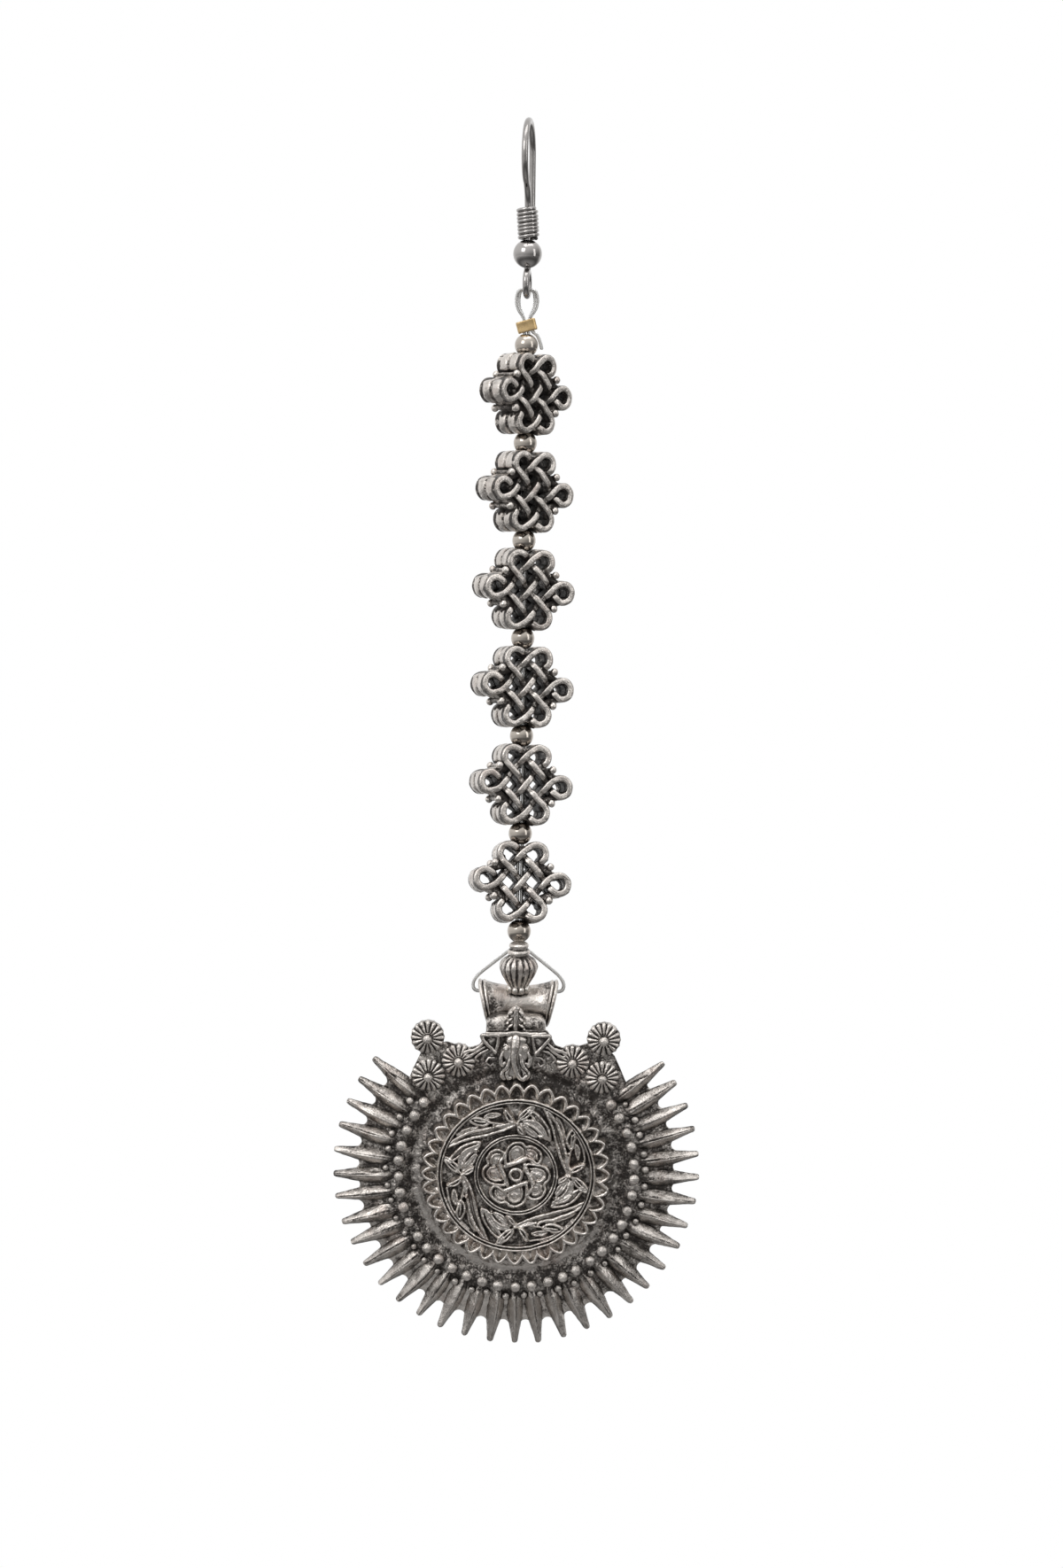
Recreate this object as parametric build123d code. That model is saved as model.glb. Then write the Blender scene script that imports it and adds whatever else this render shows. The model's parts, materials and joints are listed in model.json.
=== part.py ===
from build123d import *
from math import asin, atan2, cos, degrees, hypot, pi, radians, sin, tan
import os

# A maang tikka, a hair jewel that hangs on the forehead: a hook, a strand of knot beads and a
# cast pendant. The origin is the highest inner point of the hook, where the jewel hangs. +Z is
# up, and the decorated faces look towards -Y. All sizes are in millimetres.

# ---- driving dimensions -------------------------------------------------------------------

# hook
HOOK_WIRE_D = 0.70
HOOK_BEND_R = 3.65  # of the wire's centreline over the top
HOOK_YAW = 6.3  # the hook's plane stands turned about the hanging axis
HOOK_STEM_TOP_Z = -8.9
HOOK_TAIL_Z = -8.3
HOOK_TAIL_FLARE_R = 3.0
HOOK_TAIL_FLARE_DEG = 26.0
BALL_D = 3.0
BALL_Z = -13.5
BALL_HOLE_D = 0.80
EYE_R = 1.275  # of the eye's centreline
EYE_Z = -16.575
COIL_WIRE_D = 0.42
COIL_TURNS = 9
COIL_PITCH = 0.39
COIL_R = 0.93  # of the coil wire's centreline
COIL_TOP_Z = -8.58
COIL_LEAN = 3.8

# strand
FIRST_KNOT_Z = -28.06
KNOT_PITCH = 10.14
BEAD_D = 2.45
BEAD_HOLE_R = 0.52
THREAD_D = 0.38
THREAD_X = 0.21  # each strand's distance from the hanging axis
LOOP_Y = 0.21  # each loop's distance from the axis where the loops pass through the eye
SLING_RISE = 4.85  # from the pendant's hinge line to where the two strands part
FORK_ROUNDING = 0.30  # how much of each run the bend there takes, just under the last bead's hole
CRIMP_Z = -20.98
CRIMP_SIZE = (2.10, 1.25, 1.10)
CRIMP_CORNER_R = 0.50
CRIMP_SLOT_W = 1.60
CRIMP_SLOT_CLEARANCE = 0.05
CRIMP_LEAN = 15.0

# the thread above the crimp: how far each loop stands out to its side, and the cut end's bend
LOOP_OUT = {"left": 1.12, "right": 0.86}
LOOP_SHOULDER_RISE = 1.90
LOOP_NARROWING = 0.95  # of each loop from its shoulder to the eye
LOOP_CROWN = {"x": 0.34, "rise": 0.64, "shoulder_rise": 0.45}
RUN_ABOVE_CRIMP = 0.80
RUN_BELOW_CRIMP = 0.60
STRAND_JOG = (0.20, 1.10)  # below the crimp, where the loops turn into the two strands
CUT_END = [
    {"x": 0.56, "drop": -0.10},
    {"x": 0.56, "drop": 0.62},
    {"x": 1.30, "drop": 1.02},
    {"x": 1.58, "drop": 2.30},
]
SLING_OUT = 0.47  # from the bail's rim to the thread that goes round it
SLING_SHOULDER_RISE = 1.30

# each knot bead's turn about the thread and tilt towards the front, in degrees, from the top
KNOT_POSES = [
    {"turn": 45.0, "tilt": 0.0},
    {"turn": 37.0, "tilt": 0.0},
    {"turn": 26.0, "tilt": -2.0},
    {"turn": 23.0, "tilt": 1.0},
    {"turn": 19.0, "tilt": 1.0},
    {"turn": 10.0, "tilt": 4.0},
]

# knot bead, seen from its face: six lobes round a lattice of three bars each way.
# Half of the lobes and of the rods are given, and the others lie opposite them.
KNOT_DEPTH = 3.50
LOBE_R = 1.29
LOBES = [{"x": 3.85, "z": -0.30}, {"x": 1.50, "z": 2.85}, {"x": -1.36, "z": 2.92}]
LOBE_SHOULDER = 0.45  # from the top lobes' centres up to the body between them
KNOT_WALL = 0.50
LATTICE_PITCH = 1.93
LATTICE_BAR = 0.58
LATTICE_LENGTH = 9.0
LATTICE_DEPTH = 0.60
NOTCH_RODS = [{"x": 2.98, "z": 1.53}, {"x": -2.84, "z": 1.97}]
NOTCH_ROD_R = 0.36
NOTCH_INSET = 0.05
KNOT_HOLE_R = 0.70
KNOT_BORE_LENGTH = 20.0

# pendant: it hangs from a thread at the top of its bail tube's bore
HINGE_Z = -90.07
REST_TILT = 13.9  # the pendant's foot swings back by this much as it hangs
BAIL_HALF_TOP = 4.25
BAIL_HALF_FOOT = 3.15
BAIL_WAIST_R = 2.00
BAIL_RIM_R = 2.45
BAIL_BORE_R = 1.55
BAIL_AXIS_DROP = 1.25  # from the thread to the tube's axis
DISC_BELOW = 18.15  # from the thread to the disc's centre
DISC_AHEAD = 3.20  # from the thread to the plane of the spike tips
BAIL_CUT = 10.0  # width of the block that trims each rim aslant
BAIL_RIM_W = 0.75
BAIL_WAIST_HALF = 1.60
SPIKES = 33
SPIKE_STEP = 7.97
SPIKE_BASE_R = 12.9
SPIKE_TIP_R = 19.05
SPIKE_DROP = 1.75  # of the tip below the root
BALL_RING = {"r": 12.25, "h": 2.15}
RIM_BALL_R = 0.50
INNER_RING = {"r": 4.10, "half_w": 0.20, "h": 2.85}
BOSS = {"r": 0.70, "h": 2.90}
FACE_H = 2.45  # of the medallion's ground, where rings and boss stand on it
SUNK = 0.15  # how far rings and boss go down into it
BUD_AHEAD = 1.20

# a spike's turned section: distance along it from its root, or back from its tip, and radius
SPIKE_SECTION = [
    {"along": 0.0, "r": 0.50},
    {"along": 1.6, "r": 0.86},
    {"from_tip": 0.12, "r": 0.34},
    {"from_tip": 0.0, "r": 0.22},
]

# the coned web between the spikes
WEB = [
    {"r": 12.5, "h": 0.75},
    {"r": 12.5, "h": 1.60},
    {"r": 16.3, "h": 0.55},
    {"r": 16.3, "h": -0.15},
]

# the disc's turned section: radius and height of the front, from the centre out
DISC_FRONT = [
    {"r": 0.00, "h": FACE_H},
    {"r": 7.50, "h": FACE_H},
    {"r": 7.50, "h": 3.00},
    {"r": 8.05, "h": 3.00},
    {"r": 8.20, "h": 2.55},
    {"r": 9.80, "h": 2.15},
    {"r": 10.00, "h": 1.45},
    {"r": 11.60, "h": 1.35},
    {"r": 11.85, "h": 1.75},
    {"r": 13.60, "h": 1.60},
]
DISC_BACK = [
    {"r": 13.60, "h": 0.45},
    {"r": 11.40, "h": 0.45},
    {"r": 8.60, "h": 1.35},
    {"r": 0.00, "h": 1.35},
]

# the shoulders, neck and flowers keep to a midline just left of the disc's centre
SHOULDER_X = -0.20

# the flowers on the right shoulder
FLOWERS = [
    {"x": 9.12, "z": 14.35},
    {"x": 5.90, "z": 11.90},
    {"x": 9.00, "z": 10.27},
]
FLOWER_R = 1.78
FLOWER_FOOT = 0.35
FLOWER_RIM = 1.45
FLOWER_CONE = {"r": 0.50, "h": 2.15}
FLOWER_BALL = {"r": 0.55, "h": 2.45}

# the shoulder plate's right-hand edge, from the disc's centre, from the top centre outwards
SHOULDER_EDGE = [
    (0.0, 15.2),
    (3.1, 15.2),
    (3.9, 13.6),
    (5.2, 13.2),
    (7.4, 13.9),
    (10.0, 12.7),
    (10.8, 10.9),
    (11.2, 9.9),
    (11.9, 8.6),
    (10.2, 6.4),
    (8.0, 9.0),
    (4.5, 11.1),
    (0.0, 12.0),
]
SHOULDER_FOOT = 0.45
SHOULDER_TOP = 1.35

# the neck's step from the plate back to the bail, and the elephant head on it
NECK_STEP = [(-3.0, 13.6), (-3.0, 15.7), (3.0, 15.7), (3.0, 13.6)]
NECK_STEP_H = (-1.9, 0.9)
EAR = [(0.9, 14.6), (3.6, 14.5), (2.0, 12.4)]
EAR_H = (1.2, 2.05)
SKULL = {"z": 13.7, "h": 1.3}
SKULL_HALF = (1.5, 1.5, 1.45)
TRUNK = {"z": 13.2, "h": 2.45, "r": 0.42, "bend_r": 6.5, "bend_deg": 26.0}

# the bud over the bail, from the thread up: height and radius
BUD_SECTION = [
    {"z": -0.20, "r": 0.00},
    {"z": -0.20, "r": 0.85},
    {"z": 0.70, "r": 0.90},
    {"z": 1.60, "r": 1.45},
    {"z": 3.10, "r": 2.03},
    {"z": 3.90, "r": 1.55},
    {"z": 4.15, "r": 0.90},
    {"z": 4.30, "r": 1.15},
    {"z": 4.75, "r": 1.15},
    {"z": 4.90, "r": 0.80},
    {"z": 5.05, "r": 0.95},
    {"z": 5.45, "r": 0.95},
    {"z": 5.55, "r": 0.70},
    {"z": 5.55, "r": 0.00},
]

thread_r = THREAD_D / 2
ball_r = BALL_D / 2
bead_r = BEAD_D / 2
knot_z = [FIRST_KNOT_Z - i * KNOT_PITCH for i in range(len(KNOT_POSES))]
bead_z = [FIRST_KNOT_Z + (0.5 - i) * KNOT_PITCH for i in range(len(KNOT_POSES) + 1)]


def ring_section(points):
    """A closed face in the XY plane through (radius, height) points, fronts towards -Y."""
    return make_face(Polyline([(p["r"], -p["h"]) for p in points], close=True))


# ---- hook ---------------------------------------------------------------------------------


def hook_plane(z=0.0):
    """The hook's own plane: X towards its front, Y up."""
    yaw = radians(HOOK_YAW)
    return Plane(
        origin=(0, 0, z),
        x_dir=(-sin(yaw), -cos(yaw), 0),
        z_dir=(-cos(yaw), sin(yaw), 0),
    )


def hook_wire():
    """The stem, the bow in front, the bend over the top, the tail behind and the eye below."""
    rise = -HOOK_BEND_R + HOOK_WIRE_D / 2  # height of the bend's centre
    half_out = HOOK_BEND_R / 2
    half_up = (rise - HOOK_STEM_TOP_Z) / 2
    bow_r = (half_out**2 + half_up**2) / (2 * half_out)
    bow_turn = degrees(asin(half_up / bow_r))
    stem = Line((0, EYE_Z + EYE_R), (0, HOOK_STEM_TOP_Z))
    out = JernArc(start=stem @ 1, tangent=(0, 1), radius=bow_r, arc_size=-bow_turn)
    back = JernArc(start=out @ 1, tangent=out % 1, radius=bow_r, arc_size=bow_turn)
    bend = JernArc(start=back @ 1, tangent=(0, 1), radius=HOOK_BEND_R, arc_size=180)
    tail = Line(bend @ 1, (-HOOK_BEND_R, HOOK_TAIL_Z))
    flare = JernArc(
        start=tail @ 1,
        tangent=(0, -1),
        radius=HOOK_TAIL_FLARE_R,
        arc_size=-HOOK_TAIL_FLARE_DEG,
    )
    path = hook_plane() * Wire([stem, out, back, bend, tail, flare])
    start = Plane(origin=path @ 0, z_dir=path % 0)
    wire = sweep(start * Circle(HOOK_WIRE_D / 2), path=path)
    tip = Location(path @ 1) * Sphere(HOOK_WIRE_D / 2)
    eye = hook_plane(EYE_Z) * Torus(EYE_R, HOOK_WIRE_D / 2)
    return wire + tip + eye


def hook_ball():
    bore = Cylinder(BALL_HOLE_D / 2, 2 * BALL_D)
    return Pos(0, 0, BALL_Z) * (Sphere(ball_r) - bore)


def hook_coil():
    """The wound coil as one sleeve of rings that touch."""
    height = (COIL_TURNS - 1) * COIL_PITCH
    sleeve_r = COIL_WIRE_D / 4
    sleeve = Cylinder(COIL_R + sleeve_r, height) - Cylinder(COIL_R - sleeve_r, height)
    for i in range(COIL_TURNS):
        sleeve += Pos(0, 0, -height / 2 + i * COIL_PITCH) * Torus(COIL_R, COIL_WIRE_D / 2)
    middle = COIL_TOP_Z - COIL_WIRE_D / 2 - height / 2
    return Pos(0, 0, middle) * Rot(0, -COIL_LEAN, 0) * sleeve


# ---- strand -------------------------------------------------------------------------------


def thread_route(side):
    """The points of one half of the doubled thread, from inside the bail up to its cut end.

    side is -1 for the half that leaves the bail on the left, and 1 for the right one.
    """
    bail_x = side * (BAIL_HALF_TOP + SLING_OUT)
    axis_x = side * THREAD_X
    fork = (axis_x, 0, HINGE_Z + SLING_RISE)
    loop_y = side * LOOP_Y
    wide = side * (LOOP_OUT["left"] if side < 0 else LOOP_OUT["right"])
    near = wide * LOOP_NARROWING
    crown_x = side * LOOP_CROWN["x"]
    eye_foot = EYE_Z - EYE_R
    crimp_top = CRIMP_Z + RUN_ABOVE_CRIMP
    crimp_foot = CRIMP_Z - RUN_BELOW_CRIMP
    jog_top, jog_foot = STRAND_JOG
    points = [
        (0, 0, HINGE_Z),
        (bail_x, 0, HINGE_Z),
        (bail_x, 0, HINGE_Z + SLING_SHOULDER_RISE),
        fork,
        (axis_x, 0, crimp_foot - jog_foot),
        (axis_x, loop_y, crimp_foot - jog_top),
        (axis_x, loop_y, crimp_top),
        (wide, loop_y, CRIMP_Z + LOOP_SHOULDER_RISE),
        (near, loop_y, eye_foot + LOOP_CROWN["shoulder_rise"]),
        (crown_x, loop_y, eye_foot + LOOP_CROWN["rise"]),
        (-crown_x, loop_y, eye_foot + LOOP_CROWN["rise"]),
        (-near, loop_y, eye_foot + LOOP_CROWN["shoulder_rise"]),
        (-wide, loop_y, CRIMP_Z + LOOP_SHOULDER_RISE),
        (-axis_x, loop_y, crimp_top),
    ]
    if side > 0:
        return points + [(-axis_x, loop_y, crimp_foot)], fork
    points += [(p["x"], loop_y, CRIMP_Z - p["drop"]) for p in CUT_END]
    return points, fork


def corner_radii(points, fork):
    """The radius at each inner corner, as large as its two runs allow, but small at the fork."""
    radii = []
    for a, b, c in zip(points, points[1:], points[2:]):
        before = Vector(*b) - Vector(*a)
        after = Vector(*c) - Vector(*b)
        turn = radians(before.get_angle(after))
        shorter = min(before.length, after.length)
        taken = FORK_ROUNDING if b == fork else 0.45 * shorter
        radii.append(taken / tan(turn / 2))
    return radii


def thread():
    """The clear doubled thread: one strand through the bail, two up the beads, two loops."""
    halves = []
    for side in (-1, 1):
        points, fork = thread_route(side)
        radii = corner_radii(points, fork)
        print("thread radii", [round(r, 2) for r in radii])
        path = FilletPolyline(points, radius=radii)
        start = Plane(origin=path @ 0, z_dir=path % 0)
        half = sweep(start * Circle(thread_r), path=path)
        expected = path.length * pi * thread_r**2
        print("thread half", round(path.length, 1), "mm, volume over section:", half.volume / expected)
        halves.append(half)
    return halves[0] + halves[1]


def crimp():
    """The brass band squeezed round the four runs of thread."""
    width, depth, height = CRIMP_SIZE
    body = fillet(Box(width, depth, height).edges().filter_by(Axis.Z), CRIMP_CORNER_R)
    slot_depth = 2 * (LOOP_Y + thread_r + CRIMP_SLOT_CLEARANCE)
    slot = Box(CRIMP_SLOT_W, slot_depth, 3 * height)
    return Pos(0, 0, CRIMP_Z) * (Rot(0, -CRIMP_LEAN, 0) * body - slot)


def round_bead(z):
    return Pos(0, 0, z) * (Sphere(bead_r) - Cylinder(BEAD_HOLE_R, 2 * BEAD_D))


# ---- knot bead ----------------------------------------------------------------------------


def opposite(points):
    """The points turned half round about the bead's centre."""
    return [(-x, -z) for x, z in points]


def knot_outline(shrink):
    """The bead's outline in the XZ plane, drawn in by shrink: six lobes and the body."""
    lobes = [(p["x"], p["z"]) for p in LOBES]
    rods = [(p["x"], p["z"]) for p in NOTCH_RODS]
    inward = 1 - (NOTCH_INSET + shrink) / hypot(*rods[0])
    notches = [(x * inward, z * inward) for x, z in rods]
    rise = LOBE_SHOULDER - shrink
    tops = [(x, z + rise) for x, z in lobes[1:]]
    half = [lobes[0], notches[0], tops[0], tops[1], notches[1]]
    shape = make_face(Polyline(half + opposite(half), close=True))
    for x, z in lobes + opposite(lobes):
        shape += Pos(x, z) * Circle(LOBE_R - shrink)
    return shape


def knot_bead():
    """A hollow cast bead: wall, lattices on both faces, rods in the notches, thread holes."""
    outline = knot_outline(0)
    wall = extrude(outline - knot_outline(KNOT_WALL), KNOT_DEPTH / 2, both=True)
    lattice = Sketch()
    for way in (45, -45):
        for row in (-1, 0, 1):
            bar = Rectangle(LATTICE_LENGTH, LATTICE_BAR)
            lattice += Rot(0, 0, way) * Pos(0, row * LATTICE_PITCH) * bar
    lattice = lattice & outline
    bead = wall
    for face in (-1, 1):
        shift = face * (KNOT_DEPTH / 2 - LATTICE_DEPTH / 2)
        bead += Pos(0, 0, shift) * extrude(lattice, LATTICE_DEPTH / 2, both=True)
    rods = [(p["x"], p["z"]) for p in NOTCH_RODS]
    for x, z in rods + opposite(rods):
        bead += Pos(x, z) * Cylinder(NOTCH_ROD_R, KNOT_DEPTH)
    bore = Cylinder(KNOT_HOLE_R, KNOT_BORE_LENGTH)
    return Rot(90, 0, 0) * bead - bore


def placed_knot_bead(bead, pose, z):
    """The bead turned and tilted in its place."""
    placed = Pos(0, 0, z) * Rot(0, 0, pose["turn"]) * Rot(-pose["tilt"], 0, 0)
    return placed * bead


# ---- pendant ------------------------------------------------------------------------------


def raised(inner, outer, height):
    """A plain ring, or a boss where inner is 0, that stands on the medallion's ground."""
    foot = FACE_H - SUNK
    corners = [(inner, foot), (outer, foot), (outer, height), (inner, height)]
    return revolve(ring_section([{"r": r, "h": h} for r, h in corners]), Axis.Y)


def disc():
    """The cast dish with its raised medallion, turned about its own axis, hollow behind."""
    body = revolve(ring_section(DISC_FRONT + DISC_BACK), Axis.Y)
    middle, half = INNER_RING["r"], INNER_RING["half_w"]
    ring = raised(middle - half, middle + half, INNER_RING["h"])
    return body + ring + raised(0.0, BOSS["r"], BOSS["h"])


def flange():
    """The coned web that carries the spikes, all round but for the shoulders."""
    reach = SPIKE_STEP * SPIKES
    return Rot(0, 90 - reach / 2, 0) * revolve(ring_section(WEB), Axis.Y, reach)


def spike(angle):
    """One tapered spike, at an angle from the disc's foot, sloping back to its tip."""
    run = SPIKE_TIP_R - SPIKE_BASE_R
    slope = degrees(atan2(SPIKE_DROP, run))
    length = hypot(run, SPIKE_DROP)
    side = [(p["r"], p["along"] if "along" in p else length - p["from_tip"]) for p in SPIKE_SECTION]
    section = Polyline([(0, 0)] + side + [(0, length)], close=True)
    body = revolve(Plane.XZ * make_face(section), Axis.Z)
    body = Rot(180 + slope, 0, 0) * body
    return Rot(0, angle, 0) * Pos(0, -SPIKE_DROP, -SPIKE_BASE_R) * body


def rim_ball(angle):
    return Rot(0, angle, 0) * Pos(0, -BALL_RING["h"], -BALL_RING["r"]) * Sphere(RIM_BALL_R)


def flower(x, z):
    """A round pad with a low cone and a ball."""
    section = [
        {"r": 0.0, "h": FLOWER_FOOT},
        {"r": FLOWER_R, "h": FLOWER_FOOT},
        {"r": FLOWER_R, "h": FLOWER_RIM},
        FLOWER_CONE,
        {"r": 0.0, "h": FLOWER_CONE["h"]},
    ]
    pad = revolve(ring_section(section), Axis.Y)
    ball = Pos(0, -FLOWER_BALL["h"], 0) * Sphere(FLOWER_BALL["r"])
    return Pos(x, 0, z) * (pad + ball)


def slab(points, low, high):
    """An upright plate through (x, z) points, between two heights of the disc's front."""
    face = make_face(Polyline(points, close=True))
    return Pos(0, -low, 0) * (Rot(90, 0, 0) * extrude(face, high - low))


def mirrored(points):
    """A closed outline from its right-hand half, given from the top centre down to the foot."""
    return points + [(-x, z) for x, z in reversed(points) if x > 0]


def shoulders():
    """The plate over the dish that carries the flowers, and three flowers on each side."""
    parts = [slab(mirrored(SHOULDER_EDGE), SHOULDER_FOOT, SHOULDER_TOP)]
    for side in (-1, 1):
        parts += [flower(side * f["x"], f["z"]) for f in FLOWERS]
    return parts


def neck():
    """The step from the plate back to the bail, and the elephant head's main forms."""
    parts = [slab(NECK_STEP, *NECK_STEP_H)]
    parts += [slab([(side * x, z) for x, z in EAR], *EAR_H) for side in (-1, 1)]
    parts.append(Pos(0, -SKULL["h"], SKULL["z"]) * scale(Sphere(1.0), SKULL_HALF))
    bend = JernArc((0, TRUNK["z"]), (0, -1), TRUNK["bend_r"], TRUNK["bend_deg"])
    path = Pos(0, -TRUNK["h"], 0) * (Rot(90, 0, 0) * Wire([bend]))
    start = Plane(origin=path @ 0, z_dir=path % 0)
    parts.append(sweep(start * Circle(TRUNK["r"]), path=path))
    parts.append(Location(path @ 1) * Sphere(TRUNK["r"]))
    return parts


def bail():
    """The waisted tube with rims, cut aslant so that it narrows to its foot."""
    half = [
        (BAIL_WAIST_HALF, BAIL_WAIST_R),
        (BAIL_HALF_TOP - BAIL_RIM_W, BAIL_RIM_R),
        (BAIL_HALF_TOP, BAIL_RIM_R),
        (BAIL_HALF_TOP, 0),
    ]
    section = Polyline([(-x, r) for x, r in reversed(half)] + half, close=True)
    tube = revolve(make_face(section), Axis.X)
    lean = degrees(atan2(BAIL_HALF_TOP - BAIL_HALF_FOOT, 2 * BAIL_RIM_R))
    for side in (-1, 1):
        edge = Pos(side * BAIL_HALF_TOP, 0, BAIL_RIM_R) * Rot(0, side * lean, 0)
        tube -= edge * Pos(side * BAIL_CUT / 2, 0, 0) * Box(BAIL_CUT, 2 * BAIL_CUT, 4 * BAIL_CUT)
    return tube


def pendant():
    """The whole casting as one solid, built about its thread, then swung to its rest."""
    angles = [(i - (SPIKES - 1) / 2) * SPIKE_STEP for i in range(SPIKES)]
    at_disc = Pos(0, -DISC_AHEAD, -DISC_BELOW)
    parts = [at_disc * p for p in [flange()] + [spike(a) for a in angles]]
    parts += [at_disc * rim_ball(a) for a in angles]
    parts += [at_disc * Pos(SHOULDER_X, 0, 0) * p for p in shoulders() + neck()]
    parts.append(Pos(0, 0, -BAIL_AXIS_DROP) * bail())
    bud = make_face(Polyline([(p["r"], p["z"]) for p in BUD_SECTION], close=True))
    parts.append(Pos(0, -BUD_AHEAD, 0) * revolve(Rot(90, 0, 0) * bud, Axis.Z))
    whole = (at_disc * disc()).fuse(*parts)
    bore = Pos(0, 0, -BAIL_AXIS_DROP) * Rot(0, 90, 0) * Cylinder(BAIL_BORE_R, 4 * BAIL_HALF_TOP)
    whole = whole - bore
    return Pos(0, 0, HINGE_Z) * Rot(REST_TILT, 0, 0) * whole


# ---- writing ------------------------------------------------------------------------------


def write(name, shape):
    export_step(shape, f"parts/{name}.step")


def main():
    os.makedirs("parts", exist_ok=True)
    write("hook_wire", hook_wire())
    write("hook_coil", hook_coil())
    write("hook_ball", hook_ball())
    write("thread", thread())
    write("crimp", crimp())
    for number, z in enumerate(bead_z, 1):
        write(f"round_bead_{number}", round_bead(z))
    bead = knot_bead()
    for number, (pose, z) in enumerate(zip(KNOT_POSES, knot_z), 1):
        write(f"knot_bead_{number}", placed_knot_bead(bead, pose, z))
    write("pendant", pendant())


main()
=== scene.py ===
"""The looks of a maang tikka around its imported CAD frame.

Lengths in this script are millimetres in the frame's axes (+Z up, fronts towards -Y), and
become metres where a mesh is made.
"""
import json
from dataclasses import dataclass
from itertools import product
from math import atan2, cos, degrees, pi, radians, sin

import bpy
import numpy as np
from mathutils import Matrix, Vector


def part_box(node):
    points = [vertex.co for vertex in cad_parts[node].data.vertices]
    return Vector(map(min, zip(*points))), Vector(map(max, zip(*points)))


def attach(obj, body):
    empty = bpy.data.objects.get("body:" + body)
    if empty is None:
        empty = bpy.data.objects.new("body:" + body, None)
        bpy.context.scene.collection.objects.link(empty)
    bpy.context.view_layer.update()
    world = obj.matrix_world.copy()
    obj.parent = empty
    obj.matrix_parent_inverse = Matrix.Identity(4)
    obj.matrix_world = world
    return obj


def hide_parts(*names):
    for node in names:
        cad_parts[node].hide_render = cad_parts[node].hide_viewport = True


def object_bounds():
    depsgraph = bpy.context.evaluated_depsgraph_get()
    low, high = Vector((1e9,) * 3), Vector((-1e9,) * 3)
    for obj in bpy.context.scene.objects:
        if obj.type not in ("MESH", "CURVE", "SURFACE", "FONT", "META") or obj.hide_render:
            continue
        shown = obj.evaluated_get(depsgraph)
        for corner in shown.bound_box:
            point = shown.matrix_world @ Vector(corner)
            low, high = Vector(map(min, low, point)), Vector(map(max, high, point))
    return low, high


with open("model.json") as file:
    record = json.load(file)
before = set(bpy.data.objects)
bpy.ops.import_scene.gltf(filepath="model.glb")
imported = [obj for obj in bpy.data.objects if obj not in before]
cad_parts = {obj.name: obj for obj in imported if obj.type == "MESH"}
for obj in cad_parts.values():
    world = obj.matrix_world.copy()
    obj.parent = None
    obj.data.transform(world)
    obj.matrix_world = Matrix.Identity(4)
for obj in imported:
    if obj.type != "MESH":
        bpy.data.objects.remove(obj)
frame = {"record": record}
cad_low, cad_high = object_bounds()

MM = 0.001
TAU = 2 * pi


def table(columns, rows):
    """Rows of values as dicts with these named columns."""
    return [dict(zip(columns.split(), row)) for row in rows]


# ---- sizes shared with the CAD source ----

HOOK_WIRE_R = 0.35
HOOK_BEND_R = 3.65
HOOK_YAW = 6.3
HOOK_STEM_TOP_Z = -8.9
HOOK_TAIL_Z = -8.3
HOOK_TAIL_FLARE_R = 3.0
HOOK_TAIL_FLARE = 26.0
HOOK_ARC_STEP = 6.0
EYE_R = 1.275
EYE_Z = -16.575
COIL_WIRE_R = 0.21
COIL_TURNS = 9
COIL_PITCH = 0.39
COIL_R = 0.93
COIL_LEAN = 3.8

THREAD_R = 0.19
THREAD_X = 0.21
LOOP_Y = 0.21
SLING_RISE = 4.85
CRIMP_LEAN = 15.0

KNOT_POSES = table("turn tilt", [(45, 0), (37, 0), (26, -2), (23, 1), (19, 1), (10, 4)])
KNOT_DEPTH = 3.50
LOBE_R = 1.29
LOBES = {(1, 0): (3.85, -0.30), (1, 1): (1.50, 2.85), (-1, 1): (-1.36, 2.92)}
NOTCH_RODS = [(2.98, 1.53), (-2.84, 1.97)]
LATTICE_STEP = (1.27, 1.46)

REST_TILT = 13.9
BAIL_HALF_TOP = 4.25
BAIL_HALF_FOOT = 3.15
BAIL_RIM_R = 2.45
BAIL_BORE_R = 1.55
BAIL_AXIS_DROP = 1.25
DISC_BELOW = 18.15
DISC_AHEAD = 3.20
SPIKES = 33
SPIKE_STEP = 7.97
SPIKE_BASE_R = 12.9
BALL_RING_R = 12.25
BALL_R = 0.57
BALL_HEIGHT = 2.02
SMALL_BALL_R = 0.34
SMALL_BALL_OUT = 1.20
SMALL_BALL_HEIGHT = 1.50
RING_R = 7.92
INNER_RING_R = 4.10
BUD_AHEAD = 1.20
SHOULDER_X = -0.20
FLOWERS = table("x z", [(9.12, 14.35), (5.90, 11.90), (9.00, 10.27)])
FLOWER_R = 1.78

# ---- what the frame says ----


def middle(node):
    """The centre of a CAD node's box, in millimetres."""
    low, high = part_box(node)
    return (Vector(low) + Vector(high)) / 2 / MM


def half_width(node):
    """Half the width of a CAD node's box, in millimetres."""
    low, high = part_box(node)
    return (high[0] - low[0]) / 2 / MM


hinge = Vector(frame["record"]["behaviour"]["joints"][0]["pos_m"]) / MM
pendant_place = Matrix.Translation(hinge) @ Matrix.Rotation(radians(REST_TILT), 4, "X")

# ---- number helpers ----


def unit(values):
    """The values held between 0 and 1."""
    return np.clip(values, 0, 1)


def ramp(values, start, length):
    """0 up to a start, 1 from a length past it, and straight between."""
    return unit((values - start) / length)


def bell(values, centre, width):
    """1 at a centre, falling away on both sides over about the width."""
    return np.exp(-(((values - centre) / width) ** 2))


def squared(values, power):
    """A circle's sines or cosines pushed outwards, which squares its outline."""
    return np.sign(values) * np.abs(values) ** power


def circle(around):
    """Angles all the way round, in radians."""
    return np.linspace(0, TAU, around, endpoint=False)


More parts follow.
